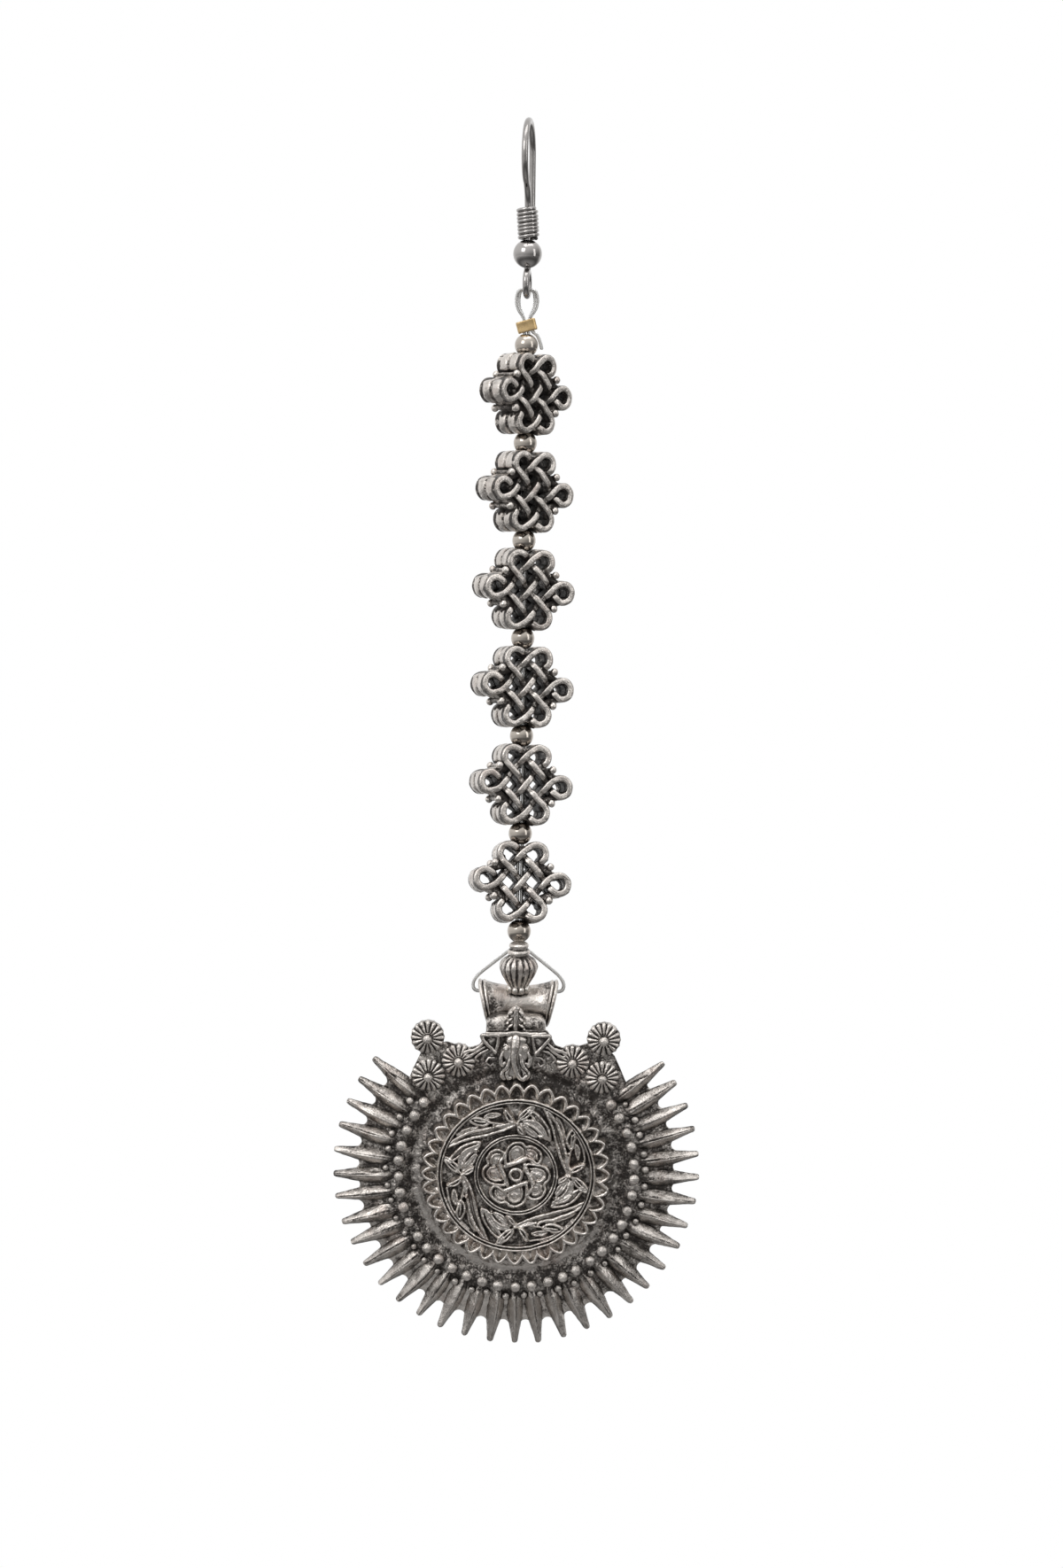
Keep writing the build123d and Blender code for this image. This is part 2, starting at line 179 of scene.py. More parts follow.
def lookup(values, rows, key, result):
    """One column of a table, read at values of another."""
    return np.interp(values, [row[key] for row in rows], [row[result] for row in rows])


def smooth_round(values, width):
    """Values round a closed outline, each averaged with its neighbours."""
    window = np.hanning(width) / np.hanning(width).sum()
    half = width // 2
    return np.convolve(np.concatenate([values[-half:], values, values[:half]]), window, "valid")


def value_noise(points, cell, seed):
    """Smooth random values from -1 to 1 over space; cell is the size of one grain."""
    p = np.asarray(points) / cell
    base = np.floor(p).astype(int)
    f = p - base
    f = f * f * (3 - 2 * f)
    draws = np.random.default_rng(seed).uniform(-1, 1, 4096)
    total = np.zeros(p.shape[:-1])
    for corner in product((0, 1), repeat=3):
        pick = draws[((base + corner) @ (73, 179, 283)) % 4096]
        total += pick * np.abs(1 - np.array(corner) - f).prod(axis=-1)
    return total


def grain(points, seed, cell, octaves):
    """Several sizes of noise added up, each finer one weaker."""
    return sum(value_noise(points, cell / 2**k, seed + k) / 1.8**k for k in range(octaves))


# ---- mesh making ----


@dataclass
class Skin:
    """Points, faces, and each point's relief: 0 in a recess that keeps its oxide, 1 on a rubbed ridge. On
    some parts it also carries painted light and shade.
    """

    points: np.ndarray
    faces: list
    relief: np.ndarray


def grid_skin(rings, relief, close_rows=False):
    """A skin of quads over rings of points; close_rows also joins the last ring to the first."""
    points = np.asarray(rings)
    rows, around = points.shape[:2]
    r, c = np.meshgrid(np.arange(rows if close_rows else rows - 1), np.arange(around), indexing="ij")
    r2, c2 = (r + 1) % rows, (c + 1) % around
    corners = (r * around + c, r * around + c2, r2 * around + c2, r2 * around + c)
    faces = np.stack(corners, axis=2).reshape(-1, 4).tolist()
    return Skin(points.reshape(-1, 3), faces, np.broadcast_to(relief, (rows, around)).reshape(-1))


def merge(skins):
    faces, start = [], 0
    for skin in skins:
        faces += [[i + start for i in face] for face in skin.faces]
        start += len(skin.points)
    return Skin(np.concatenate([s.points for s in skins]), faces, np.concatenate([s.relief for s in skins]))


def moved(skin, matrix):
    m = np.array(matrix)
    return Skin(skin.points @ m[:3, :3].T + m[:3, 3], skin.faces, skin.relief)


def piece(name, skin, material, body, nodes):
    """A finished Blender object from a skin, riding on a body and standing for CAD nodes."""
    mesh = bpy.data.meshes.new(name)
    mesh.from_pydata((skin.points * MM).tolist(), [], skin.faces)
    mesh.validate()
    layer = mesh.attributes.new("relief", "FLOAT", "POINT")
    layer.data.foreach_set("value", unit(skin.relief).astype(np.float32))
    mesh.polygons.foreach_set("use_smooth", [True] * len(mesh.polygons))
    mesh.materials.append(material)
    obj = bpy.data.objects.new(name, mesh)
    bpy.context.scene.collection.objects.link(obj)
    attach(obj, body)
    if nodes:
        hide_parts(*nodes)


def strand_piece(name, skin, turn, material, node):
    """A piece of the strand, turned and then placed at the middle of the CAD node it stands for."""
    place = Matrix.Translation(middle(node)) @ turn
    piece(name, moved(skin, place), material, "strand", [node])


def smooth_path(points, steps, closed=False):
    """A Catmull-Rom curve through the points."""
    p = np.asarray(points, float)
    p = np.vstack([p[-1:], p, p[:2]] if closed else [p[:1], p, p[-1:]])
    t = np.linspace(0, 1, steps, endpoint=False)[:, None]
    out = [
        0.5 * (2 * b + (c - a) * t + (2 * a - 5 * b + 4 * c - d) * t**2 + (3 * b - a - 3 * c + d) * t**3)
        for a, b, c, d in zip(p, p[1:], p[2:], p[3:])
    ]
    return np.concatenate(out if closed else out + [p[-1:]])


def tangents(path, closed=False):
    if closed:
        t = np.roll(path, -1, axis=0) - np.roll(path, 1, axis=0)
    else:
        t = np.gradient(path, axis=0)
    return t / np.linalg.norm(t, axis=1)[:, None]


def tube(path, radius, around=12, closed=False, up=None, flat=1.0, sink=0.0, relief=(0.35, 1.0), ribs=0.0):
    """A tube along a path. up fixes the section's own up, and flat squeezes it along that.

    radius may be one number or one for each point. An open tube gets rounded ends. sink lets
    the lower half down, which gives the tube straight sides. ribs squares the section and
    leaves a groove along its top. The side towards up gets the higher relief.
    """
    path = np.asarray(path, float)
    radius = np.broadcast_to(np.asarray(radius, float), len(path)).copy()
    t = tangents(path, closed)
    if not closed:
        away, cap = np.array([1.0, 0.87, 0.5]), np.array([0.0, 0.5, 0.87])
        start = path[0] - t[0] * (radius[0] * away)[:, None]
        end = path[-1] + t[-1] * (radius[-1] * away[::-1])[:, None]
        path, t = np.vstack([start, path, end]), np.vstack([[t[0]] * 3, t, [t[-1]] * 3])
        radius = np.concatenate([radius[0] * cap, radius, radius[-1] * cap[::-1]])
    if up is None:
        start = np.cross(t[0], (0.31, 0.17, 0.93))
        side = [start / np.linalg.norm(start)]
        for way in t[1:]:
            s = side[-1] - way * (side[-1] @ way)
            side.append(s / np.linalg.norm(s))
        side = np.array(side)
    else:
        side = np.cross(t, np.broadcast_to(up, path.shape))
        side /= np.linalg.norm(side, axis=1)[:, None]
    rise = np.cross(side, t)
    a = circle(around)
    ring = np.cos(a)[None, :, None] * side[:, None, :] + flat * np.sin(a)[None, :, None] * rise[:, None, :]
    groove = np.cos(4 * (a - pi / 2))
    ring = ring * (1 - ribs * groove)[None, :, None]
    points = path[:, None, :] + radius[:, None, None] * ring
    lower = (np.sin(a) < -1e-6) * sink
    points = points - lower[None, :, None] * rise[:, None, :]
    level = relief[0] + (relief[1] - relief[0]) * unit(np.sin(a))
    level = np.where(lower > 0, 0.0, level) * (1 - 4 * ribs * unit(groove) * (np.sin(a) > 0.5))
    return grid_skin(points, level, closed)


def about_axis(r, z, around):
    """Points turned about +Z. r and z are columns, and r may have a number for each way round."""
    a = circle(around)
    return np.stack([r * np.cos(a), r * np.sin(a), np.repeat(z, around, 1)], axis=2)


def round_skin(radius, hole, around=48, rows=26):
    """A drilled ball: its skin and the hole's turned-in lips."""
    top = np.arccos(hole / radius)
    rise = np.linspace(-top, top, rows)
    lip_r, lip_z = hole - 0.02, radius * 0.4
    r = np.concatenate([[lip_r], radius * np.cos(rise), [lip_r]])[:, None]
    z = np.concatenate([[-lip_z], radius * np.sin(rise), [lip_z]])[:, None]
    return grid_skin(about_axis(r, z, around), 0.9 * ramp(r, hole + 0.05, 0.3))


# ---- hook ----


def hook_point(forward, height):
    """A point in the hook's own turned plane."""
    yaw = radians(HOOK_YAW)
    return (-sin(yaw) * forward, -cos(yaw) * forward, height)


def arc(centre, radius, start, end):
    """Points (forward, height) along an arc, from one angle to the other, in degrees."""
    count = max(3, int(abs(end - start) / HOOK_ARC_STEP) + 1)
    angles = np.radians(np.linspace(start, end, count))
    return [(centre[0] + radius * cos(a), centre[1] + radius * sin(a)) for a in angles]


def hook_path():
    rise = -HOOK_BEND_R + HOOK_WIRE_R
    half_out, half_up = HOOK_BEND_R / 2, (rise - HOOK_STEM_TOP_Z) / 2
    bow_r = (half_out**2 + half_up**2) / (2 * half_out)
    turn = degrees(atan2(half_up, bow_r - half_out))
    line = [(0, EYE_Z + EYE_R + k * 0.8) for k in range(8)]
    line = [p for p in line if p[1] < HOOK_STEM_TOP_Z - 0.4]
    line += arc((bow_r, HOOK_STEM_TOP_Z), bow_r, 180, 180 - turn)
    line += arc((HOOK_BEND_R - bow_r, rise), bow_r, -turn, 0)[1:]
    line += arc((0, rise), HOOK_BEND_R, 0, 180)[1:]
    line += [(-HOOK_BEND_R, z) for z in np.linspace(rise - 0.6, HOOK_TAIL_Z, 8)]
    flare_centre = (-HOOK_BEND_R - HOOK_TAIL_FLARE_R, HOOK_TAIL_Z)
    line += arc(flare_centre, HOOK_TAIL_FLARE_R, 0, -HOOK_TAIL_FLARE)[1:]
    return np.array([hook_point(*p) for p in line])


def hook(material):
    wire = tube(smooth_path(hook_path(), 3), HOOK_WIRE_R, 16)
    angles = circle(72)
    ring = np.array([hook_point(EYE_R * sin(a), EYE_Z + EYE_R * cos(a)) for a in angles])
    eye = tube(ring, HOOK_WIRE_R, 16, closed=True)
    piece("hook_wire_polished", merge([wire, eye]), material, "strand", ["hook_wire"])


def coil(material):
    """The fine wire wound round the stem, its ends tucked in."""
    end = COIL_TURNS / 2 - 0.5
    turns = np.linspace(-end, end, 40 * COIL_TURNS)
    ease = unit((end - np.abs(turns)) / 0.25)
    radius = COIL_R - 0.18 * (1 - ease)
    a = turns * TAU
    z = turns * COIL_PITCH + 0.03 * np.sin(a * 0.37)
    path = np.stack([radius * np.cos(a), radius * np.sin(a), z], axis=1)
    skin = tube(path, COIL_WIRE_R)
    # the side against the stem gets low relief, which the steel paints as shade
    outward = np.hypot(skin.points[:, 0], skin.points[:, 1])
    skin.relief = (outward - COIL_R + 0.02) / COIL_WIRE_R
    lean = Matrix.Rotation(radians(-COIL_LEAN), 4, "Y")
    strand_piece("hook_coil_wound", skin, lean, material, "hook_coil")


def hook_ball(material):
    skin = round_skin(half_width("hook_ball"), 0.42, 64, 34)
    strand_piece("hook_ball_turned", skin, Matrix(), material, "hook_ball")


def round_beads(material):
    for number in range(1, len(KNOT_POSES) + 2):
        node = f"round_bead_{number}"
        skin = round_skin(half_width(node), 0.5)
        dents = value_noise(skin.points + number * 7, 1.6, 40 + number)
        skin.points = skin.points * (1 - 0.012 * np.abs(dents))[:, None]
        lean = Matrix.Rotation(radians((number * 37) % 11 - 5), 4, "X")
        strand_piece(f"{node}_polished", skin, lean, material, node)


# ---- thread and crimp ----


def thread_route(side):
    """The points of one half of the doubled thread, from inside the bail up to its cut end."""
    h = hinge.z
    crimp_z = middle("crimp").z
    bail_x = side * (BAIL_HALF_TOP + 0.47)
    axis_x = side * THREAD_X
    y = side * LOOP_Y
    wide = 1.12 if side < 0 else 0.86
    foot = EYE_Z - EYE_R
    points = [
        (0, 0, h),
        (side * 3.4, 0, h),
        (bail_x, 0, h),
        (bail_x, 0, h + 1.30),
        (side * 2.4, 0, h + 3.13),
        (side * 0.75, 0, h + 4.42),
        (axis_x, 0, h + SLING_RISE),
        (axis_x, 0, h + SLING_RISE + 1.2),
        (axis_x, 0, crimp_z - 3.0),
        (axis_x, 0, crimp_z - 1.7),
        (axis_x, y, crimp_z - 0.8),
        (axis_x, y, crimp_z + 0.8),
        (side * wide, y, crimp_z + 1.9),
        (side * wide * 0.95, y, foot + 0.45),
        (side * 0.34, y, foot + 0.64),
        (-side * 0.34, y, foot + 0.64),
        (-side * wide * 0.95, y, foot + 0.45),
        (-side * wide, y, crimp_z + 1.9),
        (-axis_x, y, crimp_z + 0.8),
    ]
    if side > 0:
        return points + [(-axis_x, y, crimp_z - 0.6)]
    points += [
        (0.56, y, crimp_z + 0.10),
        (0.56, y, crimp_z - 0.62),
        (1.30, y, crimp_z - 1.02),
        (1.58, y, crimp_z - 2.30),
    ]
    return points


def nurbs_path(points):
    """The points along a smooth NURBS line with these control points."""
    data = bpy.data.curves.new("route", "CURVE")
    data.dimensions = "3D"
    spline = data.splines.new("NURBS")
    spline.points.add(len(points) - 1)
    for point, place in zip(spline.points, points):
        point.co = (*place, 1)
    spline.order_u = 3
    spline.use_endpoint_u = True
    spline.resolution_u = 10
    obj = bpy.data.objects.new("route", data)
    mesh = bpy.data.meshes.new_from_object(obj)
    path = np.array([v.co[:] for v in mesh.vertices])
    bpy.data.objects.remove(obj)
    bpy.data.meshes.remove(mesh)
    return path


def thread(material):
    skin = merge([tube(nurbs_path(thread_route(side)), THREAD_R) for side in (-1, 1)])
    piece("nylon_thread", skin, material, "strand", ["thread"])


def crimp(material):
    """A short tube squeezed flat round the four runs of thread, dented by the pliers."""
    around, rows = 64, 14
    a = circle(around)
    half = {"x": 1.04, "y": 0.60, "z": 0.60, "wall": 0.17}
    rings = []
    for inner, way in ((False, 1), (True, -1)):
        for t in way * np.linspace(-1, 1, rows):
            pinch = 1 - 0.10 * (1 - t**2)
            shrink = half["wall"] if inner else 0.05 * t**6
            x = (half["x"] - shrink) * squared(np.cos(a), 0.55)
            y = (half["y"] * pinch - shrink) * squared(np.sin(a), 0.55)
            rings.append(np.stack([x, y, np.full(around, half["z"] * t)], axis=1))
    points = np.array(rings)
    points += 0.02 * value_noise(points, 0.5, 3)[..., None]
    skin = grid_skin(points, np.repeat([0.8, 0.2], rows)[:, None], True)
    lean = Matrix.Rotation(radians(-CRIMP_LEAN), 4, "Y")
    strand_piece("crimp_squeezed", skin, lean, material, "crimp")


# ---- knot beads ----

# The endless knot is one closed line. It passes over or under itself at crossings, whose places
# are in lattice steps, and turns round the lobes in loops, from a first to a last angle.
KNOT_LINE = table("kind i j first last", [
    ("over", -1, 1), ("under", 0, 0), ("over", 1, -1), ("loop", 1, -1, 45, -135),
    ("under", 0, -2), ("over", -1, -1), ("under", -2, 0), ("loop", -1, 0, 32, 302),
    ("over", -2, 0), ("under", -1, 1), ("over", 0, 2), ("loop", 1, 1, 135, -45),
    ("under", 1, 1), ("over", 0, 0), ("under", -1, -1), ("loop", -1, -1, 135, 315),
    ("over", 0, -2), ("under", 1, -1), ("over", 2, 0), ("loop", 1, 0, 122, -148),
    ("under", 2, 0), ("over", 1, 1), ("under", 0, 2), ("loop", -1, 1, 45, 225),
])
LOOP_STEP = 50
STRAND_R = 0.37
STRAND_WEAVE = 0.24
STRAND_SINK = 0.85
LOOP_R = 0.97


def lobe(i, j):
    """The centre of a lobe: those that the table leaves out lie opposite the ones in it."""
    x, z = LOBES.get((i, j)) or LOBES[(-i, -j)]
    return (x, z) if (i, j) in LOBES else (-x, -z)


def knot_line():
    """The knot's closed line as (x, height over the face's middle level, z) points."""
    points = []
    for row in KNOT_LINE:
        if row["kind"] != "loop":
            over = 1 if row["kind"] == "over" else -1
            points.append((row["i"] * LATTICE_STEP[0], over, row["j"] * LATTICE_STEP[1]))
            continue
        x, z = lobe(row["i"], row["j"])
        count = round(abs(row["last"] - row["first"]) / LOOP_STEP) + 1
        for a in np.radians(np.linspace(row["first"], row["last"], count)):
            points.append((x + LOOP_R * cos(a), 0.25, z + LOOP_R * sin(a)))
    line = smooth_path(points, 8, closed=True)
    line[:, 1] = STRAND_WEAVE * np.tanh(4.5 * line[:, 1])
    return line


def knot_outline():
    """The bead's lobed outline in the XZ plane, anticlockwise from the right."""
    sweeps = [((1, 0), -48, 108), ((1, 1), -52, 140), ((-1, 1), 40, 225)]
    half = []
    for key, start, end in sweeps:
        x, z = lobe(*key)
        sweep = np.radians(np.linspace(start, end, int((end - start) / 24) + 1))
        half += [(x + LOBE_R * cos(a), z + LOBE_R * sin(a)) for a in sweep]
    return smooth_path(half + [(-x, -z) for x, z in half], 5, closed=True)


def knot_wall():
    """The band round the bead: rounded rims, a shallow groove round its middle, plain inside."""
    line = knot_outline()
    t = tangents(line, closed=True)
    normal = np.stack([t[:, 1], -t[:, 0]], axis=1)
    half = KNOT_DEPTH / 2
    profile = table("y out relief", [
        (-0.80, -0.36, 0.3), (-0.80, -0.14, 0.3), (-0.76, -0.05, 0.5),
        (-0.70, 0.01, 0.9), (-0.56, 0.05, 0.9), (-0.34, 0.07, 0.8),
        (-0.16, 0.05, 0.85), (-0.07, -0.01, 0.45), (-0.03, -0.05, 0.25),
    ])
    profile += [{**p, "y": -p["y"]} for p in reversed(profile)]
    inner = [(0.78, -0.62), (0.6, -0.70), (0.3, -0.62), (-0.3, -0.62), (-0.6, -0.70), (-0.78, -0.62)]
    profile += [{"y": y, "out": out, "relief": 0.0} for y, out in inner]
    rings = []
    for p in profile:
        x, z = (line + normal * p["out"]).T
        rings.append(np.stack([x, np.full(len(line), p["y"] * half), z], axis=1))
    return grid_skin(rings, np.array([[p["relief"]] for p in profile]), True)


def knot_face(side):
    """The woven strands of one face; side is -1 for the front and 1 for the back."""
    line = knot_line()
    level = KNOT_DEPTH / 2 - STRAND_R * 0.9 - 0.10
    path = np.stack([line[:, 0], side * (level + line[:, 1]), line[:, 2]], axis=1)
    shape = {"flat": 0.8, "sink": STRAND_SINK, "relief": (0.25, 1.0), "ribs": 0.07}
    skin = tube(path, STRAND_R, 16, closed=True, up=(0, side, 0), **shape)
    high = unit(0.5 + line[:, 1] / STRAND_WEAVE / 2)
    skin.relief *= np.repeat(0.60 + 0.45 * high, 16)
    return skin


def notch_rods():
    """Slim rods across the four outer notches, each with a ball at both ends."""
    skins = []
    half = KNOT_DEPTH / 2
    for x, z in NOTCH_RODS + [(-x, -z) for x, z in NOTCH_RODS]:
        path = [(x * 0.97, y, z * 0.97) for y in np.linspace(-half + 0.3, half - 0.3, 9)]
        skins.append(tube(path, 0.26, 12, relief=(0.4, 0.8)))
        for y in (-half + 0.24, half - 0.24):
            skins.append(moved(round_skin(0.40, 0.02, 16, 10), Matrix.Translation((x, y, z))))
    return skins


def knot_beads(material):
    bead = merge([knot_wall(), knot_face(-1), knot_face(1)] + notch_rods())
    for number, pose in enumerate(KNOT_POSES, 1):
        node = f"knot_bead_{number}"
        skin = Skin(bead.points.copy(), bead.faces, bead.relief.copy())
        shift = number * 11.0
        skin.points += 0.035 * grain(skin.points + shift, 60 + number, 0.9, 2)[:, None]
        skin.relief = skin.relief + 0.18 * value_noise(skin.points + shift, 0.8, 80 + number)
        turn = Matrix.Rotation(radians(pose["turn"]), 4, "Z")
        tilt = Matrix.Rotation(radians(-pose["tilt"]), 4, "X")
        strand_piece(f"{node}_cast", skin, turn @ tilt, material, node)


# ---- pendant: places ----


def on_disc(x, z, height):
    """Points of the pendant's own frame, from places on the disc and heights over its back plane."""
    x, z, height = np.broadcast_arrays(np.asarray(x, float), z, height)
    return np.stack([x, -DISC_AHEAD - height, z - DISC_BELOW], axis=-1)


def from_foot(angle, radius):
    """(x, z) at an angle from the disc's foot, in degrees, and a radius."""
    a = np.radians(angle)
    return radius * np.sin(a), -radius * np.cos(a)


def on_shoulders(x, z, height):
    """The same for the shoulders, neck and flowers, which keep to their own midline."""
    return on_disc(np.asarray(x, float) + SHOULDER_X, z, height)


def pendant_piece(name, skins, material, nodes=()):
    piece(name, moved(merge(skins), pendant_place), material, "pendant", nodes)


def spike_angles():
    return (np.arange(SPIKES) - (SPIKES - 1) / 2) * SPIKE_STEP


# ---- pendant: dish ----

SHOULDER_EDGE = [
    (0.0, 15.2), (3.1, 15.2), (3.9, 13.6), (5.2, 13.2), (7.4, 13.9),
    (10.0, 12.7), (10.8, 10.9), (11.2, 9.9), (11.9, 8.6),
]
WEB_R = 16.3
WEB_SWELL = 0.9
DISH_SECTION = table("r h", [
    (7.80, 2.20), (8.20, 2.15), (9.20, 1.80), (9.90, 1.40), (10.40, 1.12),
    (10.90, 1.12), (11.50, 1.42), (11.85, 1.62), (12.10, 1.66), (12.60, 1.62),
    (13.00, 1.48), (13.60, 1.22), (16.30, 0.55),
])
# degrees from the foot: where the edge turns to the shoulders, and where their height blends in
SHOULDER_FROM = 129.0
SHOULDER_BLEND_FROM = 123.0
SHOULDER_BLEND = 9.0
PLATEAU_FROM_R = 10.6
WEB_FROM_R = 13.2
DISH_INNER_R = 7.85
DISH_VALLEY_R = 11.0
DISH_RIM_R = 12.4
EDGE_STEP = table("in h", [(0.00, -0.14), (0.02, -0.38), (0.12, -0.60)])
BACK_SECTION = table("r h", [(0, 1.35), (8.6, 1.35), (11.4, 0.45), (13.6, 0.45), (16.3, -0.05)])
BACK_SHRINK = 0.74


def ray_to_edge(angle):
    """How far the plate reaches from the disc's centre at an angle from the foot."""
    web = WEB_R + WEB_SWELL * abs(cos(radians(180 / SPIKE_STEP * angle))) ** 3
    away = abs((angle + 180) % 360 - 180)
    if away < SHOULDER_FROM:
        return web
    x, z = from_foot(away, 1.0)
    best = 0.0
    for (x1, z1), (x2, z2) in zip(SHOULDER_EDGE, SHOULDER_EDGE[1:]):
        dx, dz = x2 - x1, z2 - z1
        cross = x * dz - z * dx
        if abs(cross) < 1e-9:
            continue
        along = (x1 * dz - z1 * dx) / cross
        part = (x1 * z - z1 * x) / cross
        if along > 0 and -1e-6 <= part <= 1 + 1e-6:
            best = max(best, along)
    return best or web


def dish_front(angles, edge, rows):
    """Radius, height and relief over the front, row by row from under the medallion to the edge."""
    radius = DISH_INNER_R + (edge - DISH_INNER_R) * np.linspace(0, 1, rows)[:, None]
    shoulder = ramp(np.abs(angles), SHOULDER_BLEND_FROM, SHOULDER_BLEND)
    shoulder = shoulder**2 * (3 - 2 * shoulder)
    outside = ramp(radius, PLATEAU_FROM_R, 1.0) * shoulder
    plateau = 1.36 + 0.10 * ramp(radius, 11.5, 3)
    height = lookup(radius, DISH_SECTION, "r", "h")
    height = height + (plateau - height) * outside
    flat = on_disc(*from_foot(angles, radius), 0)
    rough = grain(flat, 5, 0.55, 4)
    pits = unit(value_noise(flat, 0.28, 9) - 0.35)
    web = ramp(radius, WEB_FROM_R, 1.0) * (1 - shoulder)
    lip = unit(1 - (edge - radius) / 0.7) * web
    rim = bell(radius, DISH_RIM_R, 0.55) * (1 - outside)
    valley = bell(radius, DISH_VALLEY_R, 0.45) * (1 - outside)
    slope = bell(radius, DISH_VALLEY_R - 0.65, 0.60) * (1 - outside)
    # painted light: the slope into the valley and the web are painted lighter towards the lower left, where
    # the light falls, which leaves them darker on the right
    painted_light_side = 0.5 + 0.5 * np.cos(np.radians(angles + 22.0))
    relief = 0.26 + 0.20 * rim - 0.06 * web + 0.35 * lip + 0.24 * rough - 0.35 * pits + 0.10 * outside
    relief = relief + 0.80 * slope * painted_light_side**1.5 - 0.20 * valley
    relief = relief + 0.50 * web * (2 * painted_light_side - 1).clip(0) ** 2
    return radius, height + 0.055 * rough - 0.10 * pits, relief


def dish_back(angles, edge, low, rows):
    """The hollow back's rings of points, from the foot of the edge, whose heights are low, inwards."""
    low_smooth, low_near = smooth_round(low, 121), smooth_round(low, 31)
    edge_smooth = smooth_round(edge, 121)
    rings = []
    for k in range(rows):
        share = 0.02 if k == 0 else 1 - 0.94 * BACK_SHRINK ** (k - 1)
        back_edge = edge_smooth + (edge - edge_smooth) * (1 - share) ** 12
        r = (back_edge - EDGE_STEP[-1]["in"]) * (1 - share) + 0.02 * share
        hollow = lookup(r, BACK_SECTION, "r", "h")
        rim_height = low_smooth + (low_near - low_smooth) * (1 - share) ** 3
        deep = np.minimum(hollow, rim_height * (1 - share) + hollow * share)
        rings.append(on_disc(*from_foot(angles, r), deep))
    return rings


def dish(material):
    """The plate that carries everything: a dish with a raised rim, a web and the two shoulders."""
    around, rows, back_rows = 1000, 50, 18
    angles = np.linspace(-180, 180, around, endpoint=False)
    edge = smooth_round(np.array([ray_to_edge(a) for a in angles]), 9)
    radius, height, relief = dish_front(angles, edge, rows)
    front = on_disc(*from_foot(angles, radius), height)
    sides = [on_disc(*from_foot(angles, edge - s["in"]), height[-1] + s["h"]) for s in EDGE_STEP]
    back = dish_back(angles, edge, height[-1] + EDGE_STEP[-1]["h"], back_rows)
    levels = [relief, np.full((len(sides), around), 0.55), np.full((back_rows, around), 0.30)]
    skin = grid_skin(np.concatenate([front, sides, back]), np.concatenate(levels))
    pendant_piece("pendant_dish", [skin], material, ["pendant"])


# ---- pendant: medallion ----


def sector(points, turn):
    """Places turned clockwise, as seen from the front, about the disc's centre."""
    a = radians(turn)
    return np.asarray(points, float) @ [[cos(a), -sin(a)], [sin(a), cos(a)]]


MEDALLION_GROUND = 2.25
MEDALLION_R = 8.32
SCROLL_INNER_R = 4.35


def ridge_heights(x, z, strokes):
    """The height of rounded ridges over the ground. A stroke is a path with a width and a height."""
    total = np.zeros_like(x)
    for s in strokes:
        path = np.asarray(s["path"], float)
        w = s["width"]
        low, high = path.min(0) - w, path.max(0) + w
        near = (x > low[0]) & (x < high[0]) & (z > low[1]) & (z < high[1])
        if not near.any():
            continue
        p = np.stack([x[near], z[near]], axis=1)
        a, d = path[:-1], np.diff(path, axis=0)
        t = unit(((p[:, None, :] - a) * d).sum(2) / ((d * d).sum(1) + 1e-12))
        gap = np.linalg.norm(p[:, None, :] - (a + t[..., None] * d), axis=2)
        pick = gap.argmin(axis=1)
        gap = gap[np.arange(len(p)), pick]
        along = (pick + t[np.arange(len(p)), pick]) / len(a)
        shape = np.sin(np.clip(along, 0.02, 0.98) * pi) ** 0.7 if s.get("leaf") else 1.0
        rise = unit(1 - (gap / (w * shape)) ** 2) ** 0.7 * s["height"] * (0.55 + 0.45 * shape)
        total[near] = np.maximum(total[near], rise)
    return total


def offset_path(path, width):
    """A path moved sideways: width is one number for each point."""
    t = tangents(path)
    return path + np.stack([-t[:, 1], t[:, 0]], axis=1) * width[:, None]


def leaf(spine, half, line, height, pillow):
    """A leaf's strokes: two ridges that part and meet again, and the pillow between them."""
    spine = smooth_path(spine, 7)
    t = np.linspace(0, 1, len(spine))
    spread = 1.08 * half * np.sin(pi * np.clip(t, 0.02, 1)) ** 0.65
    sides = [offset_path(spine, side * spread) for side in (-1, 1)]
    strokes = [{"path": side, "width": 1.3 * line, "height": height} for side in sides]
    inside = {"path": spine, "width": half + line, "height": height * pillow}
    return strokes + [{**inside, "leaf": True, "pillow": True}]


def cord(points, width, height):
    return [{"path": smooth_path(points, 7), "width": 1.3 * width, "height": height}]


def dome(x, z, radius, height):
    return [{"path": [(x, z), (x + 0.02, z)], "width": radius, "height": height, "pillow": True}]


def four_times(strokes):
    return [{**s, "path": sector(s["path"], turn)} for turn in (0, 90, 180, 270) for s in strokes]


